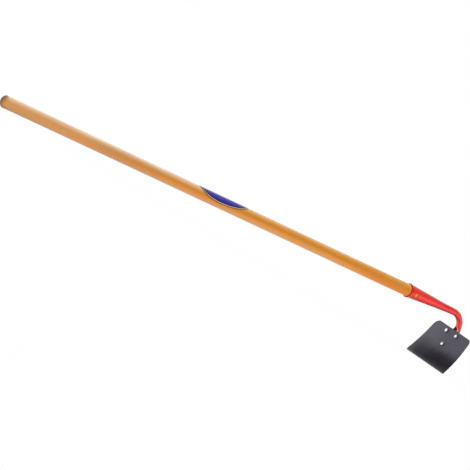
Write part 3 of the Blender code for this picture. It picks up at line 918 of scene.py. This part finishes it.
def finish_mesh(name: str, shape: bmesh.types.BMesh) -> bpy.types.Object:
    """Turn a bmesh into an object with smooth shading.

    Args:
        name: The new object's name.
        shape: The bmesh, which is freed.

    Returns:
        The object, linked to the scene.
    """
    mesh = bpy.data.meshes.new(name)
    shape.to_mesh(mesh)
    shape.free()
    piece = bpy.data.objects.new(name, mesh)
    bpy.context.scene.collection.objects.link(piece)
    mesh.shade_smooth()
    mesh.set_sharp_from_angle(angle=SHARP_ANGLE)
    piece.modifiers.new("even_shading", "WEIGHTED_NORMAL").keep_sharp = True
    return piece


def loft(name: str, rings: Sequence[Sequence[Vector]]) -> bpy.types.Object:
    """Skin a closed solid over rings that have the same number of points.

    Args:
        name: The new object's name.
        rings: The rings, from one end of the solid to the other.

    Returns:
        The object, shaded smooth with its sharp edges kept.
    """
    shape = bmesh.new()
    rows = [[shape.verts.new(point) for point in ring] for ring in rings]
    for near, far in zip(rows, rows[1:]):
        for index in range(len(near)):
            after = (index + 1) % len(near)
            shape.faces.new((near[index], near[after], far[after], far[index]))
    for row in (rows[0], rows[-1]):
        middle = shape.verts.new(sum((vertex.co for vertex in row), Vector()) / len(row))
        for index in range(len(row)):
            shape.faces.new((row[index], row[(index + 1) % len(row)], middle))
    bmesh.ops.recalc_face_normals(shape, faces=shape.faces)
    return finish_mesh(name, shape)


def turned(name: str, profile: Sequence[Point2], sides: int, origin: Vector,
           axis: Vector) -> bpy.types.Object:
    """Turn a profile about an axis.

    Args:
        name: The new object's name.
        profile: The (radius, height) points, none of them on the axis.
        sides: The number of faces round the piece.
        origin: The place of height 0.
        axis: The direction of the axis.

    Returns:
        The closed solid.
    """
    rotation = Vector((0.0, 0.0, 1.0)).rotation_difference(axis)
    place = Matrix.Translation(origin) @ rotation.to_matrix().to_4x4()
    turns = [math.tau * side / sides for side in range(sides)]
    return loft(name, [[place @ Vector((radius * math.cos(turn), radius * math.sin(turn),
                                        height)) for turn in turns]
                       for radius, height in profile])


def roughen(piece: bpy.types.Object, axis: Vector, bumps: Unevenness) -> None:
    """Make a piece slightly uneven along an axis."""
    for vertex in piece.data.vertices:
        vertex.co += axis * bumps.at(vertex.co)


def cut_out(piece: bpy.types.Object, cutter: bpy.types.Object) -> None:
    """Cut one object out of another for good, and remove the cutter.

    Args:
        piece: The object that is cut.
        cutter: The object whose shape is cut away.
    """
    cut = piece.modifiers.new("cut", "BOOLEAN")
    cut.operation = "DIFFERENCE"
    cut.solver = "EXACT"
    cut.object = cutter
    shading = piece.modifiers["even_shading"]
    shading.show_viewport = False
    whole = piece.data
    solid = piece.evaluated_get(bpy.context.evaluated_depsgraph_get())
    piece.data = bpy.data.meshes.new_from_object(solid)
    piece.data.name = whole.name
    piece.modifiers.remove(cut)
    shading.show_viewport = True
    bpy.data.meshes.remove(whole)
    bpy.data.objects.remove(cutter, do_unlink=True)


@dataclass
class Socket:
    """The conical socket that both the handle and the neck are made to."""

    mouth_radius: float = 0.0168
    tip_radius: float = 0.01065
    length: float = 0.100
    wall: float = 0.0015
    depth: float = 0.092

    @property
    def slope(self) -> float:
        """Return how much the radius falls in each metre."""
        return (self.mouth_radius - self.tip_radius) / self.length

    def outer(self, along: float) -> float:
        """Return the outer radius at a distance from the mouth."""
        return self.mouth_radius - self.slope * along

    def inner(self, along: float) -> float:
        """Return the bore's radius at a distance from the mouth."""
        return self.outer(along) - self.wall


@dataclass
class Handle:
    """The turned wooden pole, from the rounded grip end to its insert in the socket."""

    socket: Socket
    radius: float = 0.015
    reach: float = 1.336
    insert: float = 0.090
    insert_bevel: float = 0.0015
    fit: float = 0.0003
    grip_dome: float = 0.008
    grip_flat_radius: float = 0.005
    grip_flat_rings: tuple[float, ...] = (0.35, 0.7, 0.94)
    bumps: Unevenness = Unevenness(0.00008, 0.022, 3.7)
    bump_stretch: float = 0.25
    sides: int = 96
    dome_rings: int = 22
    insert_rings: int = 10
    ring_pitch: float = 0.010
    mouth_gap: float = 0.0002

    def profile(self) -> list[Point2]:
        """Draw the pole's outline.

        Returns:
            The (radius, distance along X) points from the grip to the insert.
        """
        flat = self.grip_flat_radius
        points = [(flat * share, -self.reach) for share in self.grip_flat_rings]
        points += [(flat + (self.radius - flat) * math.cos(angle),
                    -self.reach + self.grip_dome * (1.0 - math.sin(angle)))
                   for angle in shares(self.dome_rings, RIGHT_ANGLE, 0.0)]
        first = -self.reach + self.grip_dome
        count = round(-first / self.ring_pitch)
        points += [(self.radius, first * (1.0 - step / count)) for step in range(1, count)]
        points.append((self.radius, -self.mouth_gap))
        points += [(self.socket.inner(along) - self.fit, along)
                   for along in shares(self.insert_rings, 5 * self.mouth_gap,
                                       self.insert - self.insert_bevel)]
        points.append((self.socket.inner(self.insert) - self.fit - self.insert_bevel,
                       self.insert))
        return points

    def build(self) -> bpy.types.Object:
        """Build the pole, true to within the wood's own unevenness.

        Returns:
            The handle.
        """
        rings = []
        first = self.reach - self.grip_dome
        for radius, along in self.profile():
            ring = []
            for side in range(self.sides):
                angle = math.tau * side / self.sides
                spoke = Vector((0.0, math.cos(angle), math.sin(angle)))
                sample = Vector((along * self.bump_stretch, 0.0, 0.0)) + spoke * self.radius
                shrink = (self.bumps.height + self.bumps.at(sample)) / 2
                shrink *= min(1.0, radius / self.radius)
                inset = max(0.0, -first - along) / self.grip_dome * self.bumps.height
                ring.append(Vector((along + inset, 0.0, 0.0)) + spoke * (radius - shrink))
            rings.append(ring)
        return loft("handle_pole", rings)


@dataclass
class BladeForm:
    """The dished surface of the blade, which its plate, palm and rivets all follow.

    It is a strip of a cylinder. A point is given by its distance down from the top edge,
    its side and its lift off the hollow face, towards the palm.
    """

    palm_root: Vector
    root_lift: float
    thickness: float
    chord_heading: float = math.radians(180.0 - 70.3)
    height: float = 0.1046
    dish: float = 0.0042

    def __post_init__(self) -> None:
        """Work out the cylinder from the chord and the dish."""
        self.radius = self.height ** 2 / (8 * self.dish) + self.dish / 2
        half_angle = math.asin(self.height / 2 / self.radius)
        self.length = 2 * half_angle * self.radius
        self.top_heading = self.chord_heading - half_angle
        self.centre = self.palm_root - outward_at(self.top_heading) * (
            self.radius + self.root_lift)

    def heading(self, down: float) -> float:
        """Return the heading of the surface at a distance down."""
        return self.top_heading + down / self.radius

    def point(self, down: float, side: float, lift: float) -> Vector:
        """Return a point by its distance down, its side and its lift."""
        return (self.centre + outward_at(self.heading(down)) * (self.radius + lift)
                + SIDEWAYS * side)


@dataclass
class Neck:
    """The red forging: socket, swan-neck rod and the shield-shaped palm."""

    socket: Socket
    rod_end_radius: float = 0.0078
    straight: float = 0.161
    bend_radius: float = 0.040
    bend_angle: float = math.radians(55.0)
    leg_drop: float = 0.0232
    leg_reach: float = 0.0050
    leg_flare_power: float = 2.5
    rim_step: float = 0.0008
    rim_length: float = 0.003
    palm_root_width: float = 0.026
    palm_root_thickness: float = 0.009
    palm_thickness: float = 0.005
    palm_flare_power: float = 1.6
    lobe_radius: float = 0.0095
    palm_edge: float = 0.0016
    palm_squaring: float = 0.004
    shoulder_angle: float = math.radians(72.0)
    tip_angle: float = math.radians(84.0)
    blade_thickness: float = 0.0025
    seat_gap: float = 0.0003
    rivet_spread: float = 0.0408
    upper_rivet: float = 0.0117
    lower_rivet: float = 0.0444
    rivet_tail_radius: float = 0.005
    hollow_rise: float = 0.0024
    hollow_side: float = 0.0025
    hollow_width: float = 0.0185
    hollow_height: float = 0.0110
    hollow_depth: float = 0.0032
    corner_points: int = 16
    bore_steps: int = 8
    rim_steps: int = 7
    cone_steps: int = 20
    rod_steps: int = 16
    bend_steps: int = 25
    leg_steps: int = 21
    palm_steps: tuple[int, int, int, int] = (9, 17, 9, 19)
    bore_floor_rings: tuple[float, ...] = (0.3, 0.97)
    bore_floor_gap: float = 0.0004
    lip: tuple[Point2, ...] = ((0.0002, 0.00012), (0.0, 0.0004))
    lip_start: float = 0.0006
    hollow_overhang: float = 1.4
    hammer_marks: Unevenness = Unevenness(0.00010, 0.013, 1.3)

    @cached_property
    def bend_end(self) -> Vector:
        """Where the bend hands over to the leg."""
        return Vector((self.straight + self.bend_radius * math.sin(self.bend_angle), 0.0,
                       self.bend_radius * (math.cos(self.bend_angle) - 1.0)))

    @cached_property
    def palm_root(self) -> Vector:
        """The middle of the neck level with the blade's top edge."""
        return self.bend_end + Vector((self.leg_reach, 0.0, -self.leg_drop))

    @cached_property
    def form(self) -> BladeForm:
        """The dished surface that the palm carries."""
        lift = self.blade_thickness + self.seat_gap + self.palm_root_thickness / 2
        return BladeForm(self.palm_root, lift, self.blade_thickness)

    @property
    def hollow_middle(self) -> Vector:
        """The middle of the hollow, on the handle's side of the leg's foot."""
        heading = self.form.top_heading
        return (self.palm_root - outward_at(heading) * self.palm_root_thickness / 2
                - forward_at(heading) * self.hollow_rise + SIDEWAYS * self.hollow_side)

    @property
    def hollow_reach(self) -> Vector:
        """How far the hollow reaches along each axis where it opens."""
        opening = math.sqrt(0.75)
        return Vector((self.hollow_depth * self.hollow_overhang,
                       self.hollow_width / 2 * opening,
                       self.hollow_height / 2 * opening))

    def rod_radius(self, run: float) -> float:
        """Work out how thick the rod is, as far as the bend's end.

        Args:
            run: The distance along the rod from the socket's tip.

        Returns:
            The rod's radius.
        """
        whole = self.straight - self.socket.length + self.bend_radius * self.bend_angle
        return ease(self.socket.tip_radius, self.rod_end_radius, min(1.0, run / whole),
                    -self.socket.slope * whole)

    def ring(self, centre: Vector, heading: float, half_width: float, half_thickness: float,
             corner: float) -> list[Vector]:
        """Draw one ring of the forging, with its hammer marks.

        Args:
            centre: The ring's middle.
            heading: The direction that the ring is square to.
            half_width: Half its width, sideways.
            half_thickness: Half its thickness.
            corner: The radius of its corners. As large as both halves, it gives a circle.

        Returns:
            The ring's points.
        """
        corner = min(corner, half_width, half_thickness)
        outward = outward_at(heading)
        points = []
        for quarter in range(4):
            middle = (quarter + 0.5) * RIGHT_ANGLE
            side = math.copysign(half_width - corner, math.cos(middle))
            lift = math.copysign(half_thickness - corner, math.sin(middle))
            for step in range(self.corner_points):
                angle = (quarter + (step + 0.5) / self.corner_points) * RIGHT_ANGLE
                away = SIDEWAYS * math.cos(angle) + outward * math.sin(angle)
                point = centre + SIDEWAYS * side + outward * lift + away * corner
                dent = self.hammer_marks.height + self.hammer_marks.at(point)
                points.append(point - away * dent)
        return points

    def round_rings(self, stations: Iterable[Point2]) -> list[list[Vector]]:
        """Return round rings square to the handle, by their (distance, radius)."""
        return [self.ring(Vector((along, 0.0, 0.0)), 0.0, radius, radius, radius)
                for along, radius in stations]

    def bore_rings(self) -> list[list[Vector]]:
        """Draw the bore.

        Returns:
            The rings from its floor out to the lip of the mouth.
        """
        floor, inner = self.socket.depth, self.socket.inner
        stations = [(floor, inner(floor) * share) for share in self.bore_floor_rings]
        stations += [(along, inner(along)) for along in shares(
            self.bore_steps, floor - self.bore_floor_gap, self.lip_start)]
        stations += [(along, inner(0.0) + step) for along, step in self.lip]
        return self.round_rings(stations)

    def socket_rings(self) -> list[list[Vector]]:
        """Draw the socket's outside and the straight rod.

        Returns:
            The rings from the rolled rim to the start of the bend.
        """
        socket = self.socket
        stations = []
        for angle in shares(self.rim_steps, -RIGHT_ANGLE, RIGHT_ANGLE):
            along = self.rim_length / 2 * (1.0 + math.sin(angle))
            stations.append((along, socket.outer(along) + self.rim_step * math.cos(angle)))
        stations += [(along, socket.outer(along))
                     for along in shares(self.cone_steps, self.rim_length + self.rim_step,
                                         socket.length)]
        stations += [(socket.length + run, self.rod_radius(run))
                     for run in shares(self.rod_steps, 0.0,
                                       self.straight - socket.length)[1:]]
        return self.round_rings(stations)

    def bend_rings(self) -> list[list[Vector]]:
        """Draw the bend.

        Returns:
            The rings round it.
        """
        centre = Vector((self.straight, 0.0, -self.bend_radius))
        rings = []
        for heading in shares(self.bend_steps, 0.0, self.bend_angle)[1:]:
            radius = self.rod_radius(self.straight - self.socket.length
                                     + self.bend_radius * heading)
            rings.append(self.ring(centre + outward_at(heading) * self.bend_radius, heading,
                                   radius, radius, radius))
        return rings

    def leg_rings(self) -> list[list[Vector]]:
        """Draw the leg, which flattens as it comes down to the blade.

        Returns:
            The rings.
        """
        start, end, top = self.bend_end, self.palm_root, self.form.top_heading
        reach = (end - start).length
        rings = []
        for share in shares(self.leg_steps)[1:-1]:
            middle = ease(start, end, share, forward_at(self.bend_angle) * reach,
                          forward_at(top) * reach)
            half_width = self.rod_end_radius + (
                self.palm_root_width / 2 - self.rod_end_radius) * share ** self.leg_flare_power
            half_thickness = ease(self.rod_end_radius, self.palm_root_thickness / 2, share)
            rings.append(self.ring(middle, ease(self.bend_angle, top, share), half_width,
                                   half_thickness, half_thickness))
        return rings

    def palm_outline(self) -> list[Point2]:
        """Draw half of the palm, a shield of three lobes.

        Returns:
            The (down, half width) points from its root to its tip.
        """
        radius, half_spread = self.lobe_radius, self.rivet_spread / 2
        fall = self.lower_rivet - self.upper_rivet
        waist = math.atan2(half_spread, fall)
        shoulder_down = self.upper_rivet - radius * math.sin(self.shoulder_angle)
        shoulder_width = half_spread + radius * math.cos(self.shoulder_angle)
        root = self.palm_root_width / 2
        root_steps, shoulder_steps, waist_steps, tip_steps = self.palm_steps
        outline = [(shoulder_down * share,
                    root + (shoulder_width - root) * share ** self.palm_flare_power)
                   for share in shares(root_steps)[:-1]]
        outline += [(self.upper_rivet + radius * math.sin(angle),
                     half_spread + radius * math.cos(angle))
                    for angle in shares(shoulder_steps, -self.shoulder_angle, waist)]
        outline += [(self.upper_rivet + fall * share + radius * math.sin(waist),
                     half_spread * (1 - share) + radius * math.cos(waist))
                    for share in shares(waist_steps)[1:-1]]
        outline += [(self.lower_rivet + radius * math.sin(angle), radius * math.cos(angle))
                    for angle in shares(tip_steps, waist, self.tip_angle)]
        return outline

    def palm_thickness_at(self, down: float) -> float:
        """Return the palm's thickness, which thins from its root to the upper rivets."""
        share = min(1.0, max(0.0, down / (self.upper_rivet - self.rivet_tail_radius)))
        return ease(self.palm_root_thickness, self.palm_thickness, share)

    def palm_rings(self) -> list[list[Vector]]:
        """Draw the palm, laid against the back of the blade.

        Returns:
            The rings.
        """
        outline = self.palm_outline()
        tip = outline[-1][0] - self.lower_rivet
        rings = []
        for down, half_width in outline:
            near_tip = max(0.0, down - self.lower_rivet) / tip
            thickness = self.palm_thickness_at(down) - self.palm_edge * near_tip ** 4
            corner = ease(self.palm_root_thickness / 2, self.palm_edge,
                          min(1.0, down / self.palm_squaring))
            lift = self.form.thickness + self.seat_gap + thickness / 2
            rings.append(self.ring(self.form.point(down, 0.0, lift), self.form.heading(down),
                                   half_width, thickness / 2, corner))
        return rings

    def sink_hollow(self, piece: bpy.types.Object) -> None:
        """Sink the egg-shaped hollow that the forging leaves in the foot of the leg.

        Args:
            piece: The forging.
        """
        heading = self.form.top_heading
        middle = self.hollow_middle - outward_at(heading) * self.hollow_depth
        size = Matrix.Diagonal((2 * self.hollow_depth, self.hollow_width / 2,
                                self.hollow_height / 2, 1.0))
        shape = bmesh.new()
        bmesh.ops.create_uvsphere(shape, u_segments=48, v_segments=32, radius=1.0)
        shape.transform(Matrix.Translation(middle)
                        @ Matrix.Rotation(heading - RIGHT_ANGLE, 4, "Y") @ size)
        cut_out(piece, finish_mesh("hollow", shape))

    def build(self) -> bpy.types.Object:
        """Build the forging as one skin, from the bore's floor to the palm's tip.

        Returns:
            The neck.
        """
        piece = loft("neck_forging", self.bore_rings() + self.socket_rings()
                     + self.bend_rings() + self.leg_rings() + self.palm_rings())
        self.sink_hollow(piece)
        return piece


@dataclass
class Blade:
    """The dished plate, with rounded upper corners and a ground cutting edge.

    Its left side is a little fuller at the top than its right side, which stands further in.
    """

    form: BladeForm
    top_width: float = 0.1430
    edge_width: float = 0.160
    side_swell: float = 0.0008
    left_corner: float = 0.016
    right_corner: float = 0.0085
    left_fullness: float = 0.0009
    right_trim: float = 0.0020
    edge_rounding: float = 0.00055
    edge_pinch: float = 0.8
    ground_strip: float = 0.006
    cutting_thickness: float = 0.0010
    waves: Unevenness = Unevenness(0.00012, 0.030, 5.1)
    face_points: int = 40
    edge_points: int = 6
    edge_squareness: float = 3.0
    corner_rings: int = 9
    face_rings: int = 34
    strip_rings: int = 8
    least_spacing: float = 0.00002

    def half_width(self, down: float, corner: float) -> float:
        """Work out the half width on one side.

        Args:
            down: The distance down from the top edge.
            corner: The radius of that side's upper corner.

        Returns:
            The distance from the middle to the side edge.
        """
        share = down / self.form.length
        side = (self.top_width + (self.edge_width - self.top_width) * share) / 2
        side += self.side_swell * 4 * share * (1.0 - share)
        into_corner = max(0.0, corner - down)
        return side - corner + math.sqrt(max(0.0, corner ** 2 - into_corner ** 2))

    def stations(self) -> list[float]:
        """Choose where the plate has rings.

        Returns:
            The distances down, without those that nearly coincide.
        """
        length, strip = self.form.length, self.form.length - self.ground_strip
        distances = {0.0, length}
        for angle in shares(self.corner_rings, 0.0, RIGHT_ANGLE):
            fall = 1.0 - math.cos(angle)
            distances |= {self.edge_rounding * fall, length - self.edge_rounding * fall * 0.5,
                          self.left_corner * fall, self.right_corner * fall}
        distances |= set(shares(self.face_rings, self.left_corner, strip))
        distances |= set(shares(self.strip_rings, strip, length - self.edge_rounding))
        kept: list[float] = []
        for value in sorted(distances):
            if not kept or value - kept[-1] > self.least_spacing:
                kept.append(value)
        return kept

    def ring(self, down: float) -> list[Vector]:
        """Draw one ring across the plate.

        Args:
            down: The distance down from the top edge.

        Returns:
            The points: the back from left to right, then the hollow face from right to left,
            each with the rounded side edge that it ends in.
        """
        to_edge = self.form.length - down
        left = (self.half_width(down, self.left_corner)
                + self.left_fullness * (1.0 - down / self.form.length))
        right = self.half_width(down, self.right_corner) - self.right_trim
        into_strip = max(0.0, self.ground_strip - to_edge)
        back = self.form.thickness
        front = (back - self.cutting_thickness) * into_strip / self.ground_strip
        for to_end in (down, to_edge * 2.0):
            into = max(0.0, self.edge_rounding - to_end) / self.edge_rounding
            pinch = (self.edge_rounding * (1.0 - math.sqrt(max(0.0, 1.0 - into ** 2)))
                     * self.edge_pinch)
            back -= pinch
            front += pinch
        half, middle = (back - front) / 2, (back + front) / 2
        rounding = min(self.edge_rounding, half * 0.98)
        left, right = left - rounding, rounding - right
        outline = []
        for start, end, lift, turn in ((left, right, back, -1.0), (right, left, front, 1.0)):
            outline += [(side, lift) for side in shares(self.face_points, start, end)]
            for angle in shares(self.edge_points, -turn * RIGHT_ANGLE, turn * RIGHT_ANGLE)[1:-1]:
                flank = math.copysign(
                    min(1.0, abs(math.sin(angle)) * self.edge_squareness), angle)
                outline.append((end + turn * rounding * math.cos(angle),
                                middle + (half - rounding) * flank
                                + rounding * math.sin(angle)))
        return [self.form.point(down, side, lift + self.waves.at(Vector((down, side, 0.0))))
                for side, lift in outline]

    def build(self) -> bpy.types.Object:
        """Return the plate."""
        return loft("blade_plate", [self.ring(down) for down in self.stations()])


class Seat(Enum):
    """The three seats of the rivets, each with the CAD node that sits there."""

    LEFT = "rivet_left"
    RIGHT = "rivet_right"
    LOWER = "rivet_lower"


@dataclass
class Rivet:
    """A round-headed rivet through the blade and the palm."""

    seat: Seat
    neck: Neck
    head_radius: float = 0.0055
    head_height: float = 0.0030
    head_flattening: float = 0.30
    tail_radius: float = 0.0050
    tail_height: float = 0.0026
    tail_flattening: float = 0.8
    pole_gap: float = math.radians(8.0)
    rim_gap: float = 0.001
    undercut: float = 0.99
    shank_radius: float = 0.003
    clearance: float = 0.00002
    bump_height: float = 0.00008
    bump_length: float = 0.0024
    sides: int = 48
    head_rings: int = 18
    tail_rings: int = 12

    def place(self) -> Point2:
        """Find the seat on the blade.

        Returns:
            Its distance down and its side.
        """
        half = self.neck.rivet_spread / 2
        return {Seat.LEFT: (self.neck.upper_rivet, half),
                Seat.RIGHT: (self.neck.upper_rivet, -half),
                Seat.LOWER: (self.neck.lower_rivet, 0.0)}[self.seat]

    def build(self) -> bpy.types.Object:
        """Build the rivet, its head closed down on the blade and its tail on the palm.

        Returns:
            The rivet.
        """
        form, gap = self.neck.form, self.neck.seat_gap
        down, side = self.place()
        tail_seat = -(form.thickness + 2 * gap + self.neck.palm_thickness_at(down))
        head = [(self.head_radius * math.sin(angle), gap + self.head_height
                 * max(0.0, math.cos(angle)) ** self.head_flattening)
                for angle in shares(self.head_rings, self.pole_gap, RIGHT_ANGLE)]
        tail = [(self.tail_radius * math.sin(angle), tail_seat - self.tail_height
                 * math.cos(angle) ** self.tail_flattening)
                for angle in shares(self.tail_rings, RIGHT_ANGLE - self.rim_gap,
                                    self.pole_gap)]
        skirt = [(self.head_radius * self.undercut, self.clearance),
                 (self.shank_radius, self.clearance), (self.shank_radius, tail_seat + gap),
                 (self.tail_radius * self.undercut, tail_seat + gap)]
        axis = -outward_at(form.heading(down))
        piece = turned(self.seat.value + "_closed", head + skirt + tail, self.sides,
                       form.point(down, side, 0.0), axis)
        roughen(piece, axis, Unevenness(self.bump_height, self.bump_length,
                                        len(self.seat.name)))
        return piece


@dataclass
class Nail:
    """The round-headed nail that keeps the handle in the socket."""

    socket: Socket
    set_back: float = 0.0183
    turn: float = math.radians(6.5)
    head_radius: float = 0.0047
    head_height: float = 0.0026
    head_lift: float = 0.0002
    pole_gap: float = math.radians(9.0)
    undercut: float = 0.98
    shank_radius: float = 0.0016
    tip_radius: float = 0.0002
    length: float = 0.022
    point: float = 0.004
    bumps: Unevenness = Unevenness(0.00006, 0.0020, 7.0)
    sides: int = 40
    head_rings: int = 12

    def build(self) -> bpy.types.Object:
        """Build the nail, driven square to the socket's side.

        Returns:
            The nail.
        """
        lean = math.atan(self.socket.slope)
        aside = Vector((0.0, -math.cos(self.turn), -math.sin(self.turn)))
        outward = Vector((math.sin(lean), 0.0, 0.0)) + aside * math.cos(lean)
        surface = (Vector((self.set_back, 0.0, 0.0))
                   + aside * self.socket.outer(self.set_back))
        seat = -self.head_lift / 2
        head = [(self.head_radius * math.sin(angle), self.head_height * math.cos(angle))
                for angle in shares(self.head_rings, self.pole_gap, RIGHT_ANGLE)]
        shank = [(self.head_radius * self.undercut, seat), (self.shank_radius, seat),
                 (self.shank_radius, self.point - self.length),
                 (self.tip_radius, -self.length)]
        piece = turned("nail_driven", head + shank, self.sides,
                       surface + outward * self.head_lift, outward)
        roughen(piece, outward, self.bumps)
        return piece


@dataclass
class Label:
    """The plain printed oval, wrapped over the top of the handle."""

    handle: Handle
    film: PrintedFilm
    lift: float = 0.00003
    thickness: float = 0.00018
    rings: int = 16
    spokes: int = 128

    def point(self, reach: float, turn: float) -> Vector:
        """Find a point of the oval.

        Args:
            reach: Its share of the way from the middle to the edge.
            turn: The direction in which it lies, as an angle on the flat film.

        Returns:
            The point, on the wood.
        """
        film, radius = self.film, self.handle.radius + self.lift
        along = reach * math.cos(turn)
        around = (film.half_arc / film.wrap_radius * reach * math.sin(turn)
                  * (1.0 - film.taper * along))
        return Vector((film.centre_x + film.half_length * along,
                       radius * math.sin(around), radius * math.cos(around)))

    def build(self) -> bpy.types.Object:
        """Build the film as a thin solid that follows the wood.

        Returns:
            The label.
        """
        shape = bmesh.new()
        middle = shape.verts.new(self.point(0.0, 0.0))
        rows = [[shape.verts.new(self.point(reach, math.tau * spoke / self.spokes))
                 for spoke in range(self.spokes)] for reach in shares(self.rings + 1)[1:]]
        for spoke in range(self.spokes):
            after = (spoke + 1) % self.spokes
            shape.faces.new((middle, rows[0][spoke], rows[0][after]))
            for near, far in zip(rows, rows[1:]):
                shape.faces.new((near[spoke], far[spoke], far[after], near[after]))
        bmesh.ops.recalc_face_normals(shape, faces=shape.faces)
        if rows[0][0].normal.z < 0.0:
            bmesh.ops.reverse_faces(shape, faces=shape.faces)
        piece = finish_mesh("label_film", shape)
        solid = piece.modifiers.new("film", "SOLIDIFY")
        solid.thickness = self.thickness
        solid.offset = 1.0
        return piece


@dataclass
class PhotoView:
    """The camera, at the photograph's distance, direction and roll."""

    aim: Vector = fixed_vector(0.01086, -0.01091, 0.02566)
    azimuth: float = math.radians(-39.953)
    elevation: float = math.radians(1.796)
    roll: float = math.radians(32.60)
    distance: float = 16.138
    lens: float = 531.77

    def build(self) -> None:
        """Add the camera and make it the scene's own."""
        back = seen_from(self.azimuth, self.elevation)
        camera = bpy.data.objects.new("photo_view", bpy.data.cameras.new("photo_view"))
        bpy.context.scene.collection.objects.link(camera)
        level = (-back).to_track_quat("-Z", "Y").to_matrix().to_4x4()
        camera.matrix_world = (Matrix.Translation(self.aim + back * self.distance) @ level
                               @ Matrix.Rotation(self.roll, 4, "Z"))
        camera.data.lens = self.lens
        bpy.context.scene.camera = camera


@dataclass(frozen=True)
class SoftLamp:
    """A wide soft lamp that lights everything alike from one direction."""

    name: str
    azimuth: float
    elevation: float
    strength: float
    spread: float

    def build(self) -> None:
        """Add the lamp."""
        lamp = bpy.data.lights.new(self.name, "SUN")
        lamp.energy = self.strength
        lamp.angle = math.radians(self.spread)
        item = bpy.data.objects.new(self.name, lamp)
        towards = seen_from(math.radians(self.azimuth), math.radians(self.elevation))
        item.rotation_euler = towards.to_track_quat("Z", "Y").to_euler()
        bpy.context.scene.collection.objects.link(item)


@dataclass
class Studio:
    """Plain pale floor, white surroundings and soft lamps."""

    fill: float = 0.74
    floor_tone: Colour = (0.95, 0.95, 0.95)
    floor_half_side: float = 60.0
    floor_glow: float = 0.94
    lamps: tuple[SoftLamp, ...] = (
        SoftLamp("overhead", 110.0, 47.0, 0.8, 60.0),
        SoftLamp("window", -141.0, 6.0, 1.2, 34.0),
        SoftLamp("front", 40.0, 4.0, 0.75, 20.0),
        SoftLamp("side", 14.0, 5.0, 0.15, 16.0),
    )

    @staticmethod
    def seen_white(graph: Graph, lit: Wire, glow: float, white_kind: str, output: str) -> None:
        """Let a surface be seen as white, while it lights the hoe as it does by itself.

        Args:
            graph: The surface's graph.
            lit: The surface's own shader.
            glow: How much of the white is seen.
            white_kind: The type of the node that is white.
            output: The type of the output node.
        """
        rays = graph.node("ShaderNodeLightPath", output="Is Camera Ray")
        seen = rays.at_least(rays.also("Is Glossy Ray").at_least(
            rays.also("Is Transmission Ray")))
        white = graph.node(white_kind, None, {"Color": WHITE, "Strength": 1.0})
        both = graph.node("ShaderNodeMixShader", None, {0: seen * glow, 1: lit, 2: white})
        graph.node(output, None, {"Surface": both})

    def build_world(self) -> None:
        """Give the world a soft fill that is seen as white."""
        world = bpy.data.worlds.new("surroundings")
        bpy.context.scene.world = world
        graph = Graph(world)
        fill = graph.node("ShaderNodeBackground", None, {"Color": WHITE, "Strength": self.fill})
        self.seen_white(graph, fill, 1.0, "ShaderNodeBackground", "ShaderNodeOutputWorld")

    def build_floor(self) -> None:
        """Add the floor, white to the eye but for the hoe's shadow."""
        shape = bmesh.new()
        bmesh.ops.create_grid(shape, x_segments=1, y_segments=1, size=self.floor_half_side)
        floor = finish_mesh("floor", shape)
        material = bpy.data.materials.new("pale_floor")
        graph = Graph(material)
        lit = graph.node("ShaderNodeBsdfDiffuse", None, {"Color": self.floor_tone})
        self.seen_white(graph, lit, self.floor_glow, "ShaderNodeEmission",
                        "ShaderNodeOutputMaterial")
        floor.data.materials.append(material)

    def build(self) -> None:
        """Build the whole studio."""
        self.build_world()
        self.build_floor()
        for lamp in self.lamps:
            lamp.build()
        bpy.context.scene.view_settings.view_transform = "Standard"
        log.info("studio with %d lamps", len(self.lamps))


def main() -> None:
    """Build the hoe's pieces, the studio and the camera."""
    logging.basicConfig(level=logging.INFO, format="%(message)s")
    socket = Socket()
    handle = Handle(socket)
    neck = Neck(socket)
    film = PrintedFilm()
    steel = BrightMetal("bright_steel", (0.24, 0.24, 0.25), (0.16, 0.16, 0.17), 0.18)
    zinc = BrightMetal("yellow_zinc", (0.82, 0.26, 0.10), (0.70, 0.20, 0.075), 0.40,
                       shade_from=0.0217)
    stance = Stance.from_grip(frame["record"]["mounts"][0], handle.reach)
    made = [
        (handle, VarnishedWood(handle, film), "handle", "handle"),
        (neck, RedEnamel(neck), "neck", "neck"),
        (Blade(neck.form), DarkLacquer(neck.form), "blade", "blade"),
        (Nail(socket), zinc, "socket_nail", "socket_nail"),
        (Label(handle, film), film, "label", "label"),
    ]
    made += [(Rivet(seat, neck), steel, seat.value, "rivets") for seat in Seat]
    materials = {finish.name: finish.material(stance) for _, finish, _, _ in made}
    for part, finish, node, slot in made:
        piece = part.build()
        piece.data.materials.append(materials[finish.name])
        stance.place(piece, [node], slot)
    Studio().build()
    PhotoView().build()


if __name__ == "__main__":
    main()
